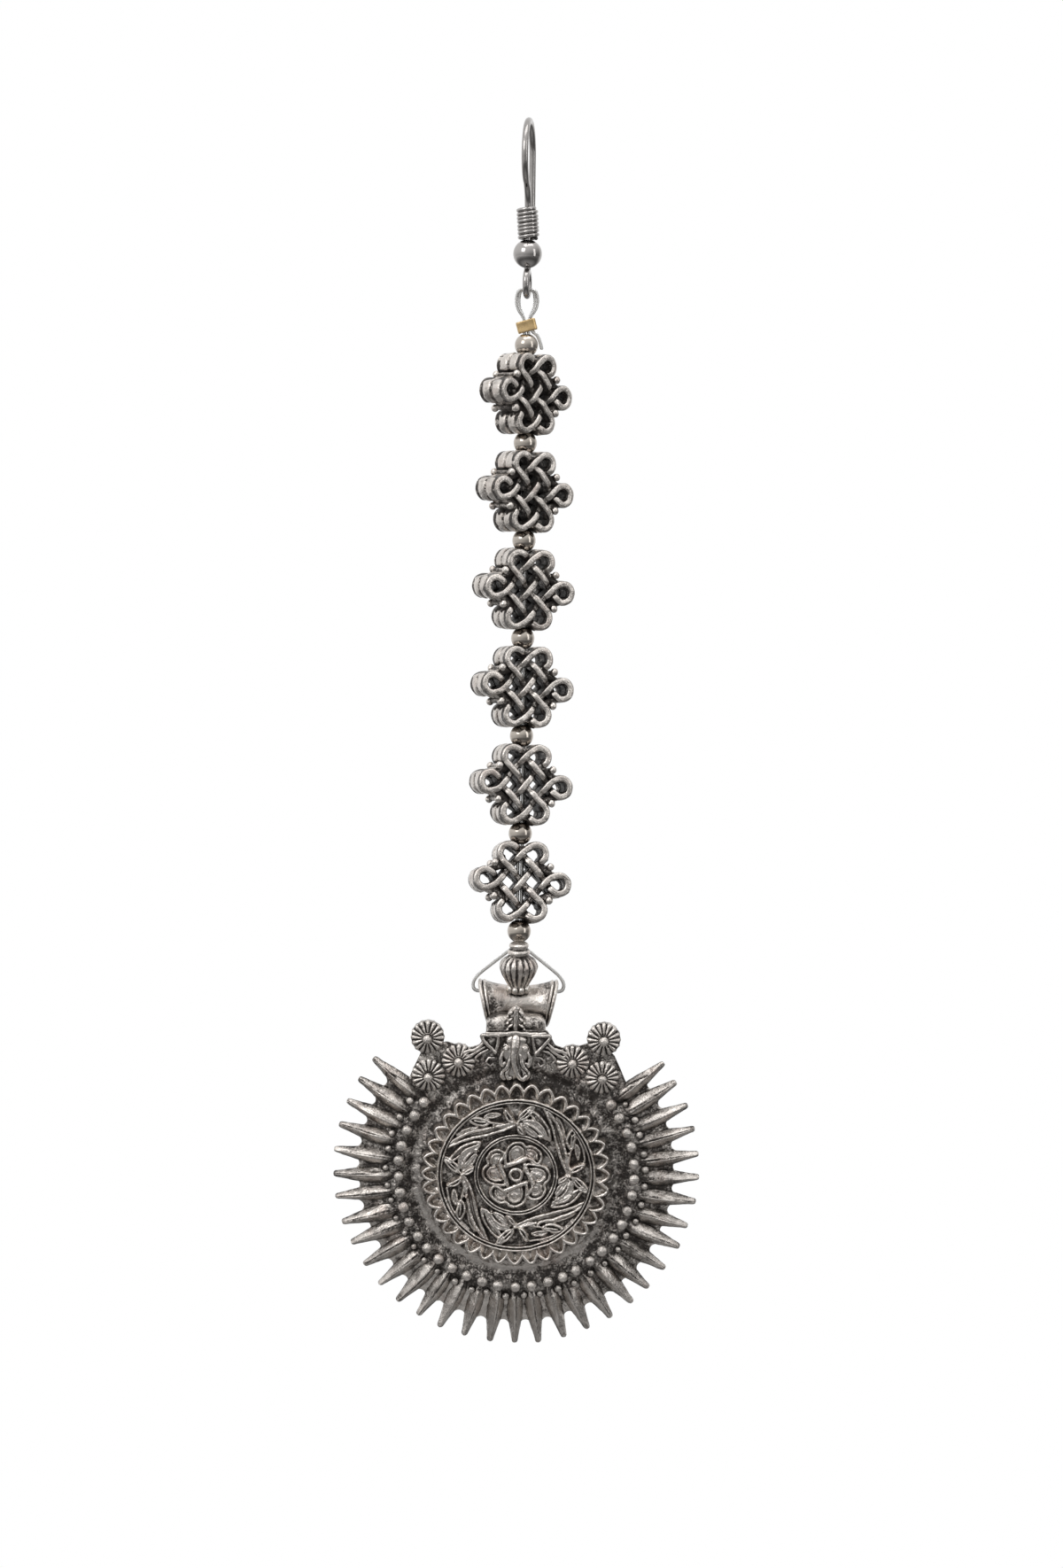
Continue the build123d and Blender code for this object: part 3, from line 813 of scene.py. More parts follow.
def scroll_strokes():
    """The vine scroll: in each quarter a long blade, a blossom, a stem with a bud, and side leaves."""
    blade = [(2.75, 7.55), (3.45, 6.35), (4.0, 5.2), (4.38, 4.0)]
    blade += [(4.66, 2.8), (4.98, 1.6), (5.35, 0.6), (5.6, -0.1)]
    quarter = leaf(blade, 0.32, 0.19, 0.52, 0.45)
    quarter += leaf([(1.30, 6.95), (2.20, 6.05), (2.95, 4.95), (3.45, 3.7)], 0.34, 0.17, 0.46, 0.7)
    quarter += leaf([(0.45, 5.40), (1.20, 5.35), (1.95, 4.85), (2.40, 4.2)], 0.40, 0.15, 0.38, 0.95)
    quarter += leaf([(5.65, 0.30), (6.25, 0.82), (7.10, 1.22)], 0.24, 0.19, 0.60, 1.0)
    quarter += leaf([(5.35, -0.10), (4.90, -0.38), (4.30, -0.80)], 0.20, 0.18, 0.56, 1.0)
    quarter += leaf([(5.95, -0.30), (6.60, -0.95), (7.40, -1.80)], 0.34, 0.16, 0.50, 0.6)
    quarter += cord([(6.00, -0.35), (6.65, -1.00), (7.20, -1.55)], 0.11, 0.44)
    quarter += leaf([(5.72, -0.70), (5.62, -1.60), (5.00, -2.45), (3.85, -3.05)], 0.26, 0.17, 0.48, 0.6)
    quarter += leaf([(5.35, -0.80), (4.85, -1.15), (4.45, -1.65), (4.15, -2.15)], 0.25, 0.14, 0.40, 0.9)
    quarter += cord([(5.62, 0.20), (5.42, 1.10), (5.50, 2.00), (5.68, 2.90)], 0.17, 0.48)
    quarter += cord([(5.36, 0.75), (5.12, 1.50), (5.20, 2.20)], 0.14, 0.44)
    quarter += leaf([(5.68, 2.85), (5.62, 3.55), (5.76, 4.25), (5.90, 4.95)], 0.38, 0.17, 0.52, 0.7)
    quarter += cord([(5.70, 3.20), (5.72, 3.80), (5.80, 4.35)], 0.11, 0.46)
    quarter += cord([(7.15, 1.55), (6.95, 2.80), (6.45, 4.05), (5.75, 5.20), (4.85, 6.05)], 0.15, 0.40)
    quarter += leaf([(6.45, 1.70), (6.35, 2.60), (6.20, 3.35)], 0.24, 0.13, 0.30, 1.0)
    quarter += leaf([(4.90, 3.30), (4.80, 4.30), (4.55, 5.30), (4.10, 6.20)], 0.20, 0.13, 0.26, 0.9)
    quarter += dome(5.22, 2.38, 0.25, 0.52) + dome(5.62, -0.12, 0.34, 0.54) + dome(2.50, 4.05, 0.30, 0.46)
    return four_times(quarter)


def rosette_strokes():
    """Four two-lobed petals with doubled outlines that follow each other round a small ring."""
    edge = [(-1.00, 1.05), (-1.12, 1.95), (-0.88, 2.85), (-0.20, 3.42), (0.55, 3.40), (1.04, 2.95)]
    edge += [(1.70, 3.02), (2.42, 2.55), (2.62, 1.80), (2.20, 1.25), (1.20, 1.72), (0.15, 1.40)]
    outline = smooth_path(edge, 7, closed=True)
    petal = [{"path": outline, "width": 0.23, "height": 0.44}]
    inner = [(-0.66, 1.55), (-0.72, 2.15), (-0.45, 2.75), (0.10, 3.02), (0.62, 2.75), (0.80, 2.20)]
    petal += cord(inner, 0.13, 0.32)
    petal += cord([(1.22, 2.62), (1.72, 2.62), (2.12, 2.25), (2.16, 1.78)], 0.13, 0.32)
    petal += cord([(-1.05, 0.92), (-0.45, 1.12), (0.25, 1.38), (1.00, 1.70)], 0.27, 0.46)
    petal += dome(0.08, 2.32, 0.52, 0.36) + dome(1.56, 2.06, 0.42, 0.34)
    petal += dome(0.05, 2.30, 1.05, 0.24) + dome(1.60, 2.05, 0.95, 0.24)
    return four_times(petal)


def relief_ring(inner, outer, rows, around, strokes, rings, shine, seed):
    """A ring of the medallion's face: ground, pillows, ridges and rings, with a cast grain."""
    angles = circle(around)
    radius = np.linspace(inner, outer, rows)[:, None] + np.zeros(around)
    x, z = radius * np.sin(angles), radius * np.cos(angles)
    flat = on_disc(x, z, 0)
    at = [places + 0.05 * value_noise(flat, 1.1, seed + k) for places, k in ((x, 50), (z, 60))]
    soft = ridge_heights(*at, [s for s in strokes if s.get("pillow")])
    sharp = ridge_heights(*at, [s for s in strokes if not s.get("pillow")])
    raised = 1.2 * np.maximum(soft * 0.75 + sharp * 0.75, sharp)
    for ring in rings:
        lift = ring["height"] * unit(1 - ((radius - ring["r"]) / ring["width"]) ** 2) ** 0.5
        raised = np.where(np.abs(radius - ring["r"]) < ring["width"] + 0.02, lift + 0.06, raised)
    rough = grain(flat, seed, 0.42, 3)
    swell = value_noise(flat, 1.3, seed + 70)
    height = MEDALLION_GROUND + raised + 0.12 * swell + 0.07 * rough
    relief = shine + 0.60 * unit(swell + 0.1) + 0.20 * rough + 0.95 * unit(raised / 0.22)
    return grid_skin(on_disc(x, z, height), relief)


def medallion(material):
    """The vine scroll and the rosette, with double rings round both and a small ring in the middle."""
    middle_ring, *rings = table("r width height", [
        (0.60, 0.24, 0.56),
        (RING_R + 0.21, 0.18, 0.74),
        (RING_R - 0.11, 0.15, 0.62),
        (INNER_RING_R + 0.16, 0.15, 0.54),
        (INNER_RING_R - 0.12, 0.13, 0.50),
    ])
    scroll = relief_ring(SCROLL_INNER_R, MEDALLION_R, 68, 940, scroll_strokes(), rings, 0.24, 21)
    pendant_piece("medallion_scroll", [scroll], material)
    inner_rings = rings[2:] + [middle_ring]
    rosette = relief_ring(0.03, SCROLL_INNER_R, 78, 520, rosette_strokes(), inner_rings, 0.46, 31)
    pendant_piece("medallion_rosette", [rosette], material)


RUFF_ARCHES = 36
RUFF_CUSP_R = 9.05
RUFF_SWELL = 0.82
RUFF_INNER_R = 8.26
RUFF_OUTER_R = 10.04
RUFF_TOP = 2.78
# the ruff's wall, by the way in from its outer edge, and its share of the full height there
RUFF_WALL = table("in share", [
    (-0.12, 0.00), (-0.02, 0.60), (0.07, 0.93), (0.20, 1.00), (0.34, 0.93),
    (0.46, 0.74), (0.66, 0.48), (0.88, 0.28), (1.10, 0.12), (1.40, 0.00),
])


def ruff(material):
    """The pleated collar round the medallion: arches, each round a hollow that faces inwards."""
    rows, around = 34, RUFF_ARCHES * 28
    a = circle(around)
    half_turns = RUFF_ARCHES / 2 * (a + 0.006 * np.sin(5 * a + 1) + 0.004 * np.sin(11 * a))
    reach = RUFF_CUSP_R + RUFF_SWELL * np.abs(np.cos(half_turns)) ** 0.62 + 0.04 * np.sin(7 * a)
    slope = RUFF_SWELL * RUFF_ARCHES / 2 * np.abs(np.sin(half_turns)) / 9.4
    radius = np.linspace(RUFF_INNER_R, RUFF_OUTER_R, rows)[:, None] + np.zeros(around)
    inward = (reach - radius) / np.sqrt(1 + slope**2)
    from_leg = np.abs(np.cos(half_turns)) * 2 / RUFF_ARCHES * radius
    leg = 0.85 * bell(from_leg, 0, 0.22) * (radius < reach) * ramp(radius, RUFF_INNER_R - 0.01, 0.15)
    share = np.maximum(lookup(inward, RUFF_WALL, "in", "share"), leg)
    ground = lookup(radius, DISH_SECTION, "r", "h") - 0.03
    ground = ground - 0.06 * unit(inward / 0.6) * ramp(radius, RUFF_INNER_R, 0.2)
    x, z = radius * np.sin(a), radius * np.cos(a)
    rough = grain(on_disc(x, z, 0), 41, 0.5, 3)
    top = RUFF_TOP + 0.08 * np.sin(9 * a + 2)
    height = ground + (top - ground) * share + 0.03 * rough
    # painted light and shade: inside the ruff the relief is painted higher towards the lower left and lower
    # towards the upper right, as the light falls; beyond the arches' outer edge it stays low
    painted_light_by_side = np.where(inward < -0.02, 0.05, 0.34 - 0.42 * np.cos(a - 0.9))
    relief = painted_light_by_side + 0.80 * share**0.5 + 0.10 * rough
    pendant_piece("ruff", [grid_skin(on_disc(x, z, height), relief)], material)


# ---- pendant: rim ----


def ball(x, z, height, radius, seed):
    skin = round_skin(radius, 0.015, 20, 14)
    skin.relief = 0.02 + 0.46 * unit(0.30 - skin.points[:, 1] / radius)
    skin.points = skin.points * (1 + 0.05 * value_noise(skin.points + seed, radius, seed))[:, None]
    return moved(skin, Matrix.Translation(on_disc(x, z, height)))


def rim_balls(material):
    """A ball at the root of each spike, and a smaller one in each gap a little further out."""
    draw = np.random.default_rng(11)
    skins = []
    for number, angle in enumerate(spike_angles()):
        x, z = from_foot(angle + draw.uniform(-0.5, 0.5), BALL_RING_R + draw.uniform(-0.06, 0.06))
        skins.append(ball(x, z, BALL_HEIGHT, BALL_R + draw.uniform(-0.03, 0.03), number))
        if number == SPIKES - 1:
            continue
        turn = angle + SPIKE_STEP / 2 + draw.uniform(-0.7, 0.7)
        x, z = from_foot(turn, BALL_RING_R + SMALL_BALL_OUT + draw.uniform(-0.12, 0.12))
        radius = SMALL_BALL_R + draw.uniform(-0.05, 0.07)
        skins.append(ball(x, z, SMALL_BALL_HEIGHT, radius, 50 + number))
    pendant_piece("rim_balls", skins, material)


# a spike along its length: radius on the disc, half its width, its keel's rise over its level
SPIKE_STATIONS = table("r half keel level", [
    (12.75, 0.32, 0.25, 1.45), (13.20, 0.62, 0.50, 1.32),
    (13.90, 0.84, 0.78, 1.10), (15.00, 0.92, 0.92, 0.84),
    (16.20, 0.79, 0.84, 0.60), (17.00, 0.63, 0.72, 0.40),
    (18.00, 0.45, 0.54, 0.18), (18.85, 0.33, 0.40, -0.02),
    (19.02, 0.22, 0.26, -0.04), (19.06, 0.04, 0.05, 0.02),
])
# across a spike: two flat facets that meet in a keel, over a rounded back
SPIKE_ACROSS = table("side rise relief", [
    (0.00, 1.00, 1.0), (0.08, 0.95, 1.0), (0.20, 0.84, 1.0),
    (0.32, 0.72, 1.0), (0.50, 0.55, 0.95), (0.90, 0.14, 0.78),
    (1.00, -0.02, 0.50), (0.96, -0.28, 0.4), (0.55, -0.50, 0.3),
    (0.00, -0.58, 0.3),
])


def spike(angle, draw):
    """One keeled spike: broad near its root, tapering straight to a blunt tip, sloping back."""
    rows = 40
    last = len(SPIKE_STATIONS) - 1
    radius = np.interp(np.linspace(0, last, rows), range(last + 1), [s["r"] for s in SPIKE_STATIONS])
    half, keel, level = [lookup(radius, SPIKE_STATIONS, "r", k)[:, None] for k in ("half", "keel", "level")]
    ring = SPIKE_ACROSS + [{**p, "side": -p["side"]} for p in SPIKE_ACROSS[-2:0:-1]]
    across, rise, shade = [np.array([p[k] for p in ring]) for k in ("side", "rise", "relief")]
    lean = draw.uniform(-0.16, 0.16)
    side = half * draw.uniform(0.94, 1.05) * (across + lean * unit(rise))
    height = level + keel * rise
    radius = radius[:, None] * draw.uniform(0.994, 1.001) + 0 * side
    turn = np.radians(angle + draw.uniform(-0.5, 0.5))
    x = radius * np.sin(turn) + side * np.cos(turn)
    z = -radius * np.cos(turn) + side * np.sin(turn)
    points = on_disc(x, z, height)
    streaks = np.stack([radius * 0.45, side * 2.2, np.full_like(side, 9.0 * angle)], axis=2)
    rough = grain(streaks, 70, 0.6, 3)
    points[..., 1] -= 0.045 * rough
    points += 0.015 * grain(points, 71, 0.4, 2)[..., None]
    start = ramp(radius, SPIKE_BASE_R, 1.2)
    kept_oxide = 0.16 * abs(sin(radians(angle)))
    relief = (0.35 + (0.50 - kept_oxide) * start) * shade + 0.20 * rough
    # painted shade: a dark line along one facet of each spike beside its keel, on the side set by where the
    # spike points
    shaded = np.sign(sin(radians(angle + 45)))
    painted_shade_line = bell(across * shaded, 0.20, 0.09) * (rise > 0)
    return grid_skin(points, relief - 0.55 * painted_shade_line * (0.6 + 0.8 * value_noise(streaks, 1.5, 77)))


def spikes(material):
    draw = np.random.default_rng(23)
    pendant_piece("spikes", [spike(angle, draw) for angle in spike_angles()], material)


# ---- pendant: flowers ----


def flower(cx, cz, seed):
    """A round pad of narrow petals that rise towards a ball."""
    around, rows, petals = 144, 18, 16
    a = circle(around) + seed * 0.37
    t = np.linspace(0, 1, rows)[:, None]
    scallop = 1 - 0.045 * np.abs(np.sin(petals / 2 * a))
    radius = 0.02 + (FLOWER_R - 0.02) * t * scallop
    comb = np.abs(np.cos(petals / 2 * a + 0.22 * np.sin(3 * a + seed))) ** 0.8
    span = ramp(t, 0.22, 0.15) * unit((1.02 - t) / 0.10)
    height = 1.50 + 0.42 * (1 - t) ** 0.8 + (0.34 * comb - 0.12) * span
    relief = 0.08 + 0.92 * comb**2 * span

    def place(r, height):
        return on_shoulders(cx + r * np.sin(a), cz + r * np.cos(a), height)

    skirt = table("in h", [
        (0.00, 1.25), (0.03, 0.80), (0.12, 0.42), (0.30, 0.36), (0.90, 0.36),
        (1.78, 0.36),
    ])
    back = [place(np.maximum(radius[-1] - s["in"], 0.01), s["h"]) for s in skirt]
    points = np.concatenate([place(radius, height), back])
    points += 0.02 * grain(points, seed, 0.4, 2)[..., None]
    pad = grid_skin(points, np.concatenate([relief, np.full((len(skirt), around), 0.35)]))
    collar = tube(place(0.50, 1.98)[::4], 0.09, 8, closed=True)
    return [pad, collar, ball(cx + SHOULDER_X, cz, 2.40, 0.50, seed)]


def flowers(material):
    skins = []
    for side in (-1, 1):
        for number, place in enumerate(FLOWERS):
            skins += flower(side * place["x"], place["z"], 3 + number + 5 * (side + 1))
    pendant_piece("flowers", skins, material)


# ---- pendant: bail, bud and elephant head ----


def bail(material):
    """A waisted tube whose rolled ends lean in towards its foot, open right through."""
    around = 96
    stations = table("u r relief", [
        (-1.00, 2.14, 0.7), (-0.985, 2.34, 1.0), (-0.945, 2.50, 1.0),
        (-0.905, 2.44, 0.8), (-0.885, 2.30, 0.1), (-0.865, 2.42, 0.8),
        (-0.82, 2.46, 1.0), (-0.775, 2.28, 0.3), (-0.60, 2.08, 0.55),
        (-0.30, 1.88, 0.8),
    ])
    stations += [{"u": 0.0, "r": 1.84, "relief": 0.8}] + [{**s, "u": -s["u"]} for s in reversed(stations)]
    line = smooth_path([(s["u"], s["r"], s["relief"]) for s in stations], 4)
    inside = [(u, BAIL_BORE_R + 0.05, 0.1) for u in np.linspace(1, -1, 24)]
    lips = [(1.0, 1.95, 0.6), (1.0, 1.72, 0.4)]
    line = np.vstack([line, lips, inside, [(-u, r, level) for u, r, level in lips[::-1]]])
    a = circle(around)
    u, r, level = line[:, 0:1], line[:, 1:2], line[:, 2:3]
    y, z = r * np.sin(a), r * np.cos(a)
    half = (BAIL_HALF_TOP + BAIL_HALF_FOOT + (BAIL_HALF_TOP - BAIL_HALF_FOOT) * z / BAIL_RIM_R) / 2
    points = np.stack([u * half, y, z - BAIL_AXIS_DROP], axis=2)
    points += 0.02 * grain(points, 90, 0.8, 3)[..., None]
    pendant_piece("bail_tube", [grid_skin(points, level + 0.3 * grain(points, 93, 1.1, 3), True)], material)


def bud(material):
    """The fluted bud over the bail, with petals at its foot and a ringed collar on top."""
    flutes = 17
    section = table("z r flute relief", [
        (0.10, 0.70, 0.0, 0.3), (0.25, 0.84, 0.0, 0.4),
        (0.80, 0.98, 0.2, 0.6), (1.40, 1.32, 0.7, 0.8),
        (2.10, 1.74, 1.0, 0.9), (2.80, 2.00, 1.0, 1.0),
        (3.30, 1.96, 1.0, 1.0), (3.70, 1.70, 0.9, 0.8),
        (4.00, 1.30, 0.5, 0.5), (4.18, 1.00, 0.1, 0.2),
        (4.24, 1.02, 0.0, 0.2), (4.34, 1.14, 0.0, 0.9),
        (4.54, 1.17, 0.0, 1.0), (4.72, 1.12, 0.0, 0.8),
        (4.86, 0.93, 0.0, 0.1), (4.98, 0.92, 0.0, 0.2),
        (5.10, 1.00, 0.0, 0.9), (5.28, 1.01, 0.0, 1.0),
        (5.44, 0.90, 0.0, 0.8), (5.52, 0.62, 0.0, 0.5),
        (5.46, 0.02, 0.0, 0.2),
    ])
    line = smooth_path([(p["r"], p["z"], p["flute"], p["relief"]) for p in section], 5)
    around = flutes * 12
    comb = np.abs(np.cos(flutes / 2 * circle(around)))
    depth = 0.20 * line[:, 2:3] * (1 - comb**0.7)
    r = np.clip(line[:, 0:1], 0.02, None) - depth
    relief = unit(line[:, 3:4] - line[:, 2:3] * (1 - comb) ** 0.6 * 0.95)
    points = about_axis(r, line[:, 1:2], around)
    points += 0.02 * grain(points, 95, 0.6, 3)[..., None]
    points[..., 1] -= BUD_AHEAD
    body = grid_skin(points, relief)
    petals = []
    for k in range(9):
        turn = TAU * (k + 0.5) / 9
        lump = round_skin(0.34, 0.015, 18, 12)
        lump.points = lump.points * (0.9, 1.1, 1.25)
        lump.relief = np.full(len(lump.relief), 0.9)
        spot = Matrix.Translation((0.98 * sin(turn), -BUD_AHEAD - 0.98 * cos(turn), 0.62))
        petals.append(moved(lump, spot))
    pendant_piece("bud", [body] + petals, material)


def ridge_on_disc(points, radius, height, around=12):
    """A tapering raised cord along places on the disc: points are (x, z, share of the radius)."""
    p = smooth_path(points, 8)
    path = on_shoulders(p[:, 0], p[:, 1], np.broadcast_to(height, len(p)))
    return tube(path, np.clip(p[:, 2], 0.05, None) * radius, around, up=(0, -1, 0))


def lump_on_disc(x, z, height, size, lean=0.0, relief=0.9):
    """A rounded lump; size is its half-width, half-depth and half-height."""
    skin = round_skin(1.0, 0.015, 28, 20)
    skin.points = skin.points * np.array(size)
    skin.relief = unit(0.25 + relief * (0.5 - skin.points[:, 1] / size[1] * 0.5))
    place = Matrix.Translation(on_shoulders(x, z, height))
    return moved(skin, place @ Matrix.Rotation(radians(lean), 4, "Y"))


def elephant(material):
    """A small elephant's head: crest, brow bar, ears outlined by cords, eyes, cheeks, trunk and tusks."""
    brow = [(-3.0, 14.95, 0.8), (-1.5, 14.85, 1.0), (0, 15.0, 1.1), (1.5, 14.85, 1.0), (3.0, 14.95, 0.8)]
    skins = [
        lump_on_disc(0.0, 16.2, 0.85, (0.95, 0.75, 1.45), relief=0.5),
        lump_on_disc(0.0, 14.10, 1.50, (1.25, 0.70, 0.85), relief=1.0),
        lump_on_disc(0.0, 13.0, 1.50, (1.70, 0.66, 1.30), relief=1.0),
        lump_on_disc(0.0, 11.4, 1.42, (1.40, 0.52, 1.65), relief=1.0),
        ridge_on_disc([(0, 17.75, 0.6), (0.02, 17.0, 0.9), (0.0, 16.0, 1.0), (0.0, 14.9, 0.9)], 0.26, 1.62),
        lump_on_disc(0.0, 17.5, 1.40, (0.42, 0.40, 0.36)),
        ridge_on_disc(brow, 0.25, 1.80),
    ]
    trunk = [(0.0, 14.35, 1.75), (-0.03, 13.7, 1.40), (-0.17, 12.8, 1.05), (-0.15, 11.9, 0.95)]
    trunk += [(0.05, 11.1, 0.9), (0.35, 10.5, 0.85), (0.80, 10.15, 0.75), (1.12, 10.45, 0.6)]
    t = np.linspace(0, 1, (len(trunk) - 1) * 8 + 1)
    skins.append(ridge_on_disc(trunk, 0.34, np.interp(t, [0, 0.16, 0.35, 1], [1.72, 2.15, 2.36, 2.03]), 16))
    for side in (-1, 1):
        def stroke(points, radius, height):
            skins.append(ridge_on_disc([(side * x, z, w) for x, z, w in points], radius, height))

        ear = [(1.75, 14.75, 0.9), (2.7, 14.78, 0.9), (3.55, 14.65, 1.0)]
        stroke(ear + [(2.9, 13.75, 0.9), (2.1, 12.95, 0.9)], 0.20, 2.02)
        stroke([(2.1, 12.95, 0.9), (1.85, 13.8, 0.9), (1.8, 14.65, 0.8)], 0.18, 1.98)
        skins.append(lump_on_disc(side * 2.35, 14.0, 1.45, (0.80, 0.36, 0.55), side * 35, 0.25))
        skins.append(lump_on_disc(side * 0.95, 13.35, 1.84, (0.44, 0.36, 0.36), side * 20, relief=0.9))
        skins.append(lump_on_disc(side * 0.98, 13.33, 2.06, (0.19, 0.18, 0.15), side * 15))
        for row in range(3):
            z = 17.05 - 0.68 * row
            skins.append(lump_on_disc(side * 0.55, z, 1.40, (0.42, 0.30, 0.20), side * 38))
            skins.append(lump_on_disc(side * 0.86, z - 0.46, 1.28, (0.26, 0.26, 0.17), side * 60, 0.8))
        stroke([(0.42, 12.70, 0.9), (0.62, 12.0, 1.0), (0.85, 11.35, 0.9), (1.20, 11.0, 0.7)], 0.26, 1.96)
        stroke([(1.30, 12.90, 0.7), (1.52, 12.25, 0.9), (1.40, 11.60, 1.0), (1.10, 11.75, 0.8)], 0.27, 1.82)
        stroke([(0.60, 11.2, 0.8), (0.90, 10.6, 1.0), (0.72, 10.15, 1.0), (0.42, 10.20, 0.8)], 0.26, 1.74)
        stroke([(1.22, 11.0, 0.8), (1.38, 10.50, 1.0), (1.15, 10.05, 0.9)], 0.25, 1.68)
        volute = [(3.2, 14.1, 0.7), (4.0, 13.25, 1.0), (4.9, 13.0, 0.9), (5.35, 12.8, 0.8)]
        volute += [(4.9, 12.45, 0.8), (4.2, 12.8, 0.7), (3.2, 13.45, 0.6)]
        stroke(volute, 0.21, 1.72)
        stroke([(2.9, 13.1, 0.6), (3.6, 12.75, 0.9), (4.15, 12.2, 0.8), (3.9, 11.8, 0.6)], 0.17, 1.64)
        curl = [(2.2, 12.3, 0.7), (2.8, 12.2, 0.9), (3.0, 11.7, 0.8), (2.6, 11.4, 0.6), (2.3, 11.7, 0.4)]
        stroke(curl, 0.15, 1.60)
    head = merge(skins)
    head.points = head.points + 0.05 * grain(head.points, 99, 0.45, 3)[:, None]
    pendant_piece("elephant_head", [head], material)


def neck(material):
    """The rounded block behind the head that joins the plate to the bail tube."""
    rows, around = 16, 48
    a = circle(around)
    square_x, square_z = squared(np.cos(a), 0.45), squared(np.sin(a), 0.45)
    rings = []
    for t in np.linspace(0, 1, rows):
        cap = 1 - 0.25 * abs(2 * t - 1) ** 6
        rings.append(on_shoulders(3.05 * cap * square_x, 15.05 + 1.40 * cap * square_z, -1.9 + 2.75 * t))
    rough = grain(rings, 97, 0.7, 3)
    skin = grid_skin(rings + 0.06 * rough[..., None], 0.36 + 0.25 * rough)
    skin.faces += [list(range(around))[::-1], [(rows - 1) * around + k for k in range(around)]]
    pendant_piece("neck_block", [skin], material)


# ---- materials ----


class Graph:
    """Builds a node tree by short calls, each of which gives back an output socket."""

    def __init__(self, tree):
        self.nodes, self.links = tree.nodes, tree.links

    def add(self, kind):
        return self.nodes.new("ShaderNode" + kind)

    def put(self, value, socket):
        """Links an output to a socket, or sets the socket to a number or colour."""
        if isinstance(value, tuple):
            socket.default_value = (*value, 1)
        elif isinstance(value, (int, float)):
            socket.default_value = value
        else:
            self.links.new(value, socket)

    def place(self):
        return self.add("TexCoord").outputs["Object"]

    def relief(self):
        node = self.add("Attribute")
        node.attribute_name = "relief"
        return node.outputs["Fac"]

    def noise(self, coords, scale, detail, roughness):
        node = self.add("TexNoise")
        settings = {"Scale": scale, "Detail": detail, "Roughness": roughness, "Vector": coords}
        for name, value in settings.items():
            self.put(value, node.inputs[name])
        return node.outputs["Fac"]

    def math(self, operation, first, second, clamp=False):
        node = self.add("Math")
        node.operation = operation
        node.use_clamp = clamp
        self.put(first, node.inputs[0])
        self.put(second, node.inputs[1])
        return node.outputs[0]

    def spread(self, value, low, high, to_low=0.0, to_high=1.0):
        """A smooth step of a value from one range to another."""
        node = self.add("MapRange")
        node.interpolation_type = "SMOOTHSTEP"
        settings = {"From Min": low, "From Max": high, "To Min": to_low, "To Max": to_high, "Value": value}
        for name, number in settings.items():
            self.put(number, node.inputs[name])
        return node.outputs["Result"]

    def mix(self, factor, first, second):
        node = self.add("Mix")
        node.data_type = "RGBA"
        for number, value in ((0, factor), (6, first), (7, second)):
            self.put(value, node.inputs[number])
        return node.outputs[2]

    def bump(self, height, distance, strength, before=None):
        node = self.add("Bump")
        settings = {"Strength": strength, "Distance": distance, "Height": height}
        for name, value in settings.items():
            self.put(value, node.inputs[name])
        if before is not None:
            self.put(before, node.inputs["Normal"])
        return node.outputs["Normal"]

    def seen_by_camera(self, paths):
        return self.math("MAXIMUM", paths["Is Camera Ray"], paths["Is Transmission Ray"])


def new_material(name):
    """A material, its graph and its shader's sockets."""
    material = bpy.data.materials.new(name)
    material.use_nodes = True
    return material, Graph(material.node_tree), material.node_tree.nodes["Principled BSDF"].inputs


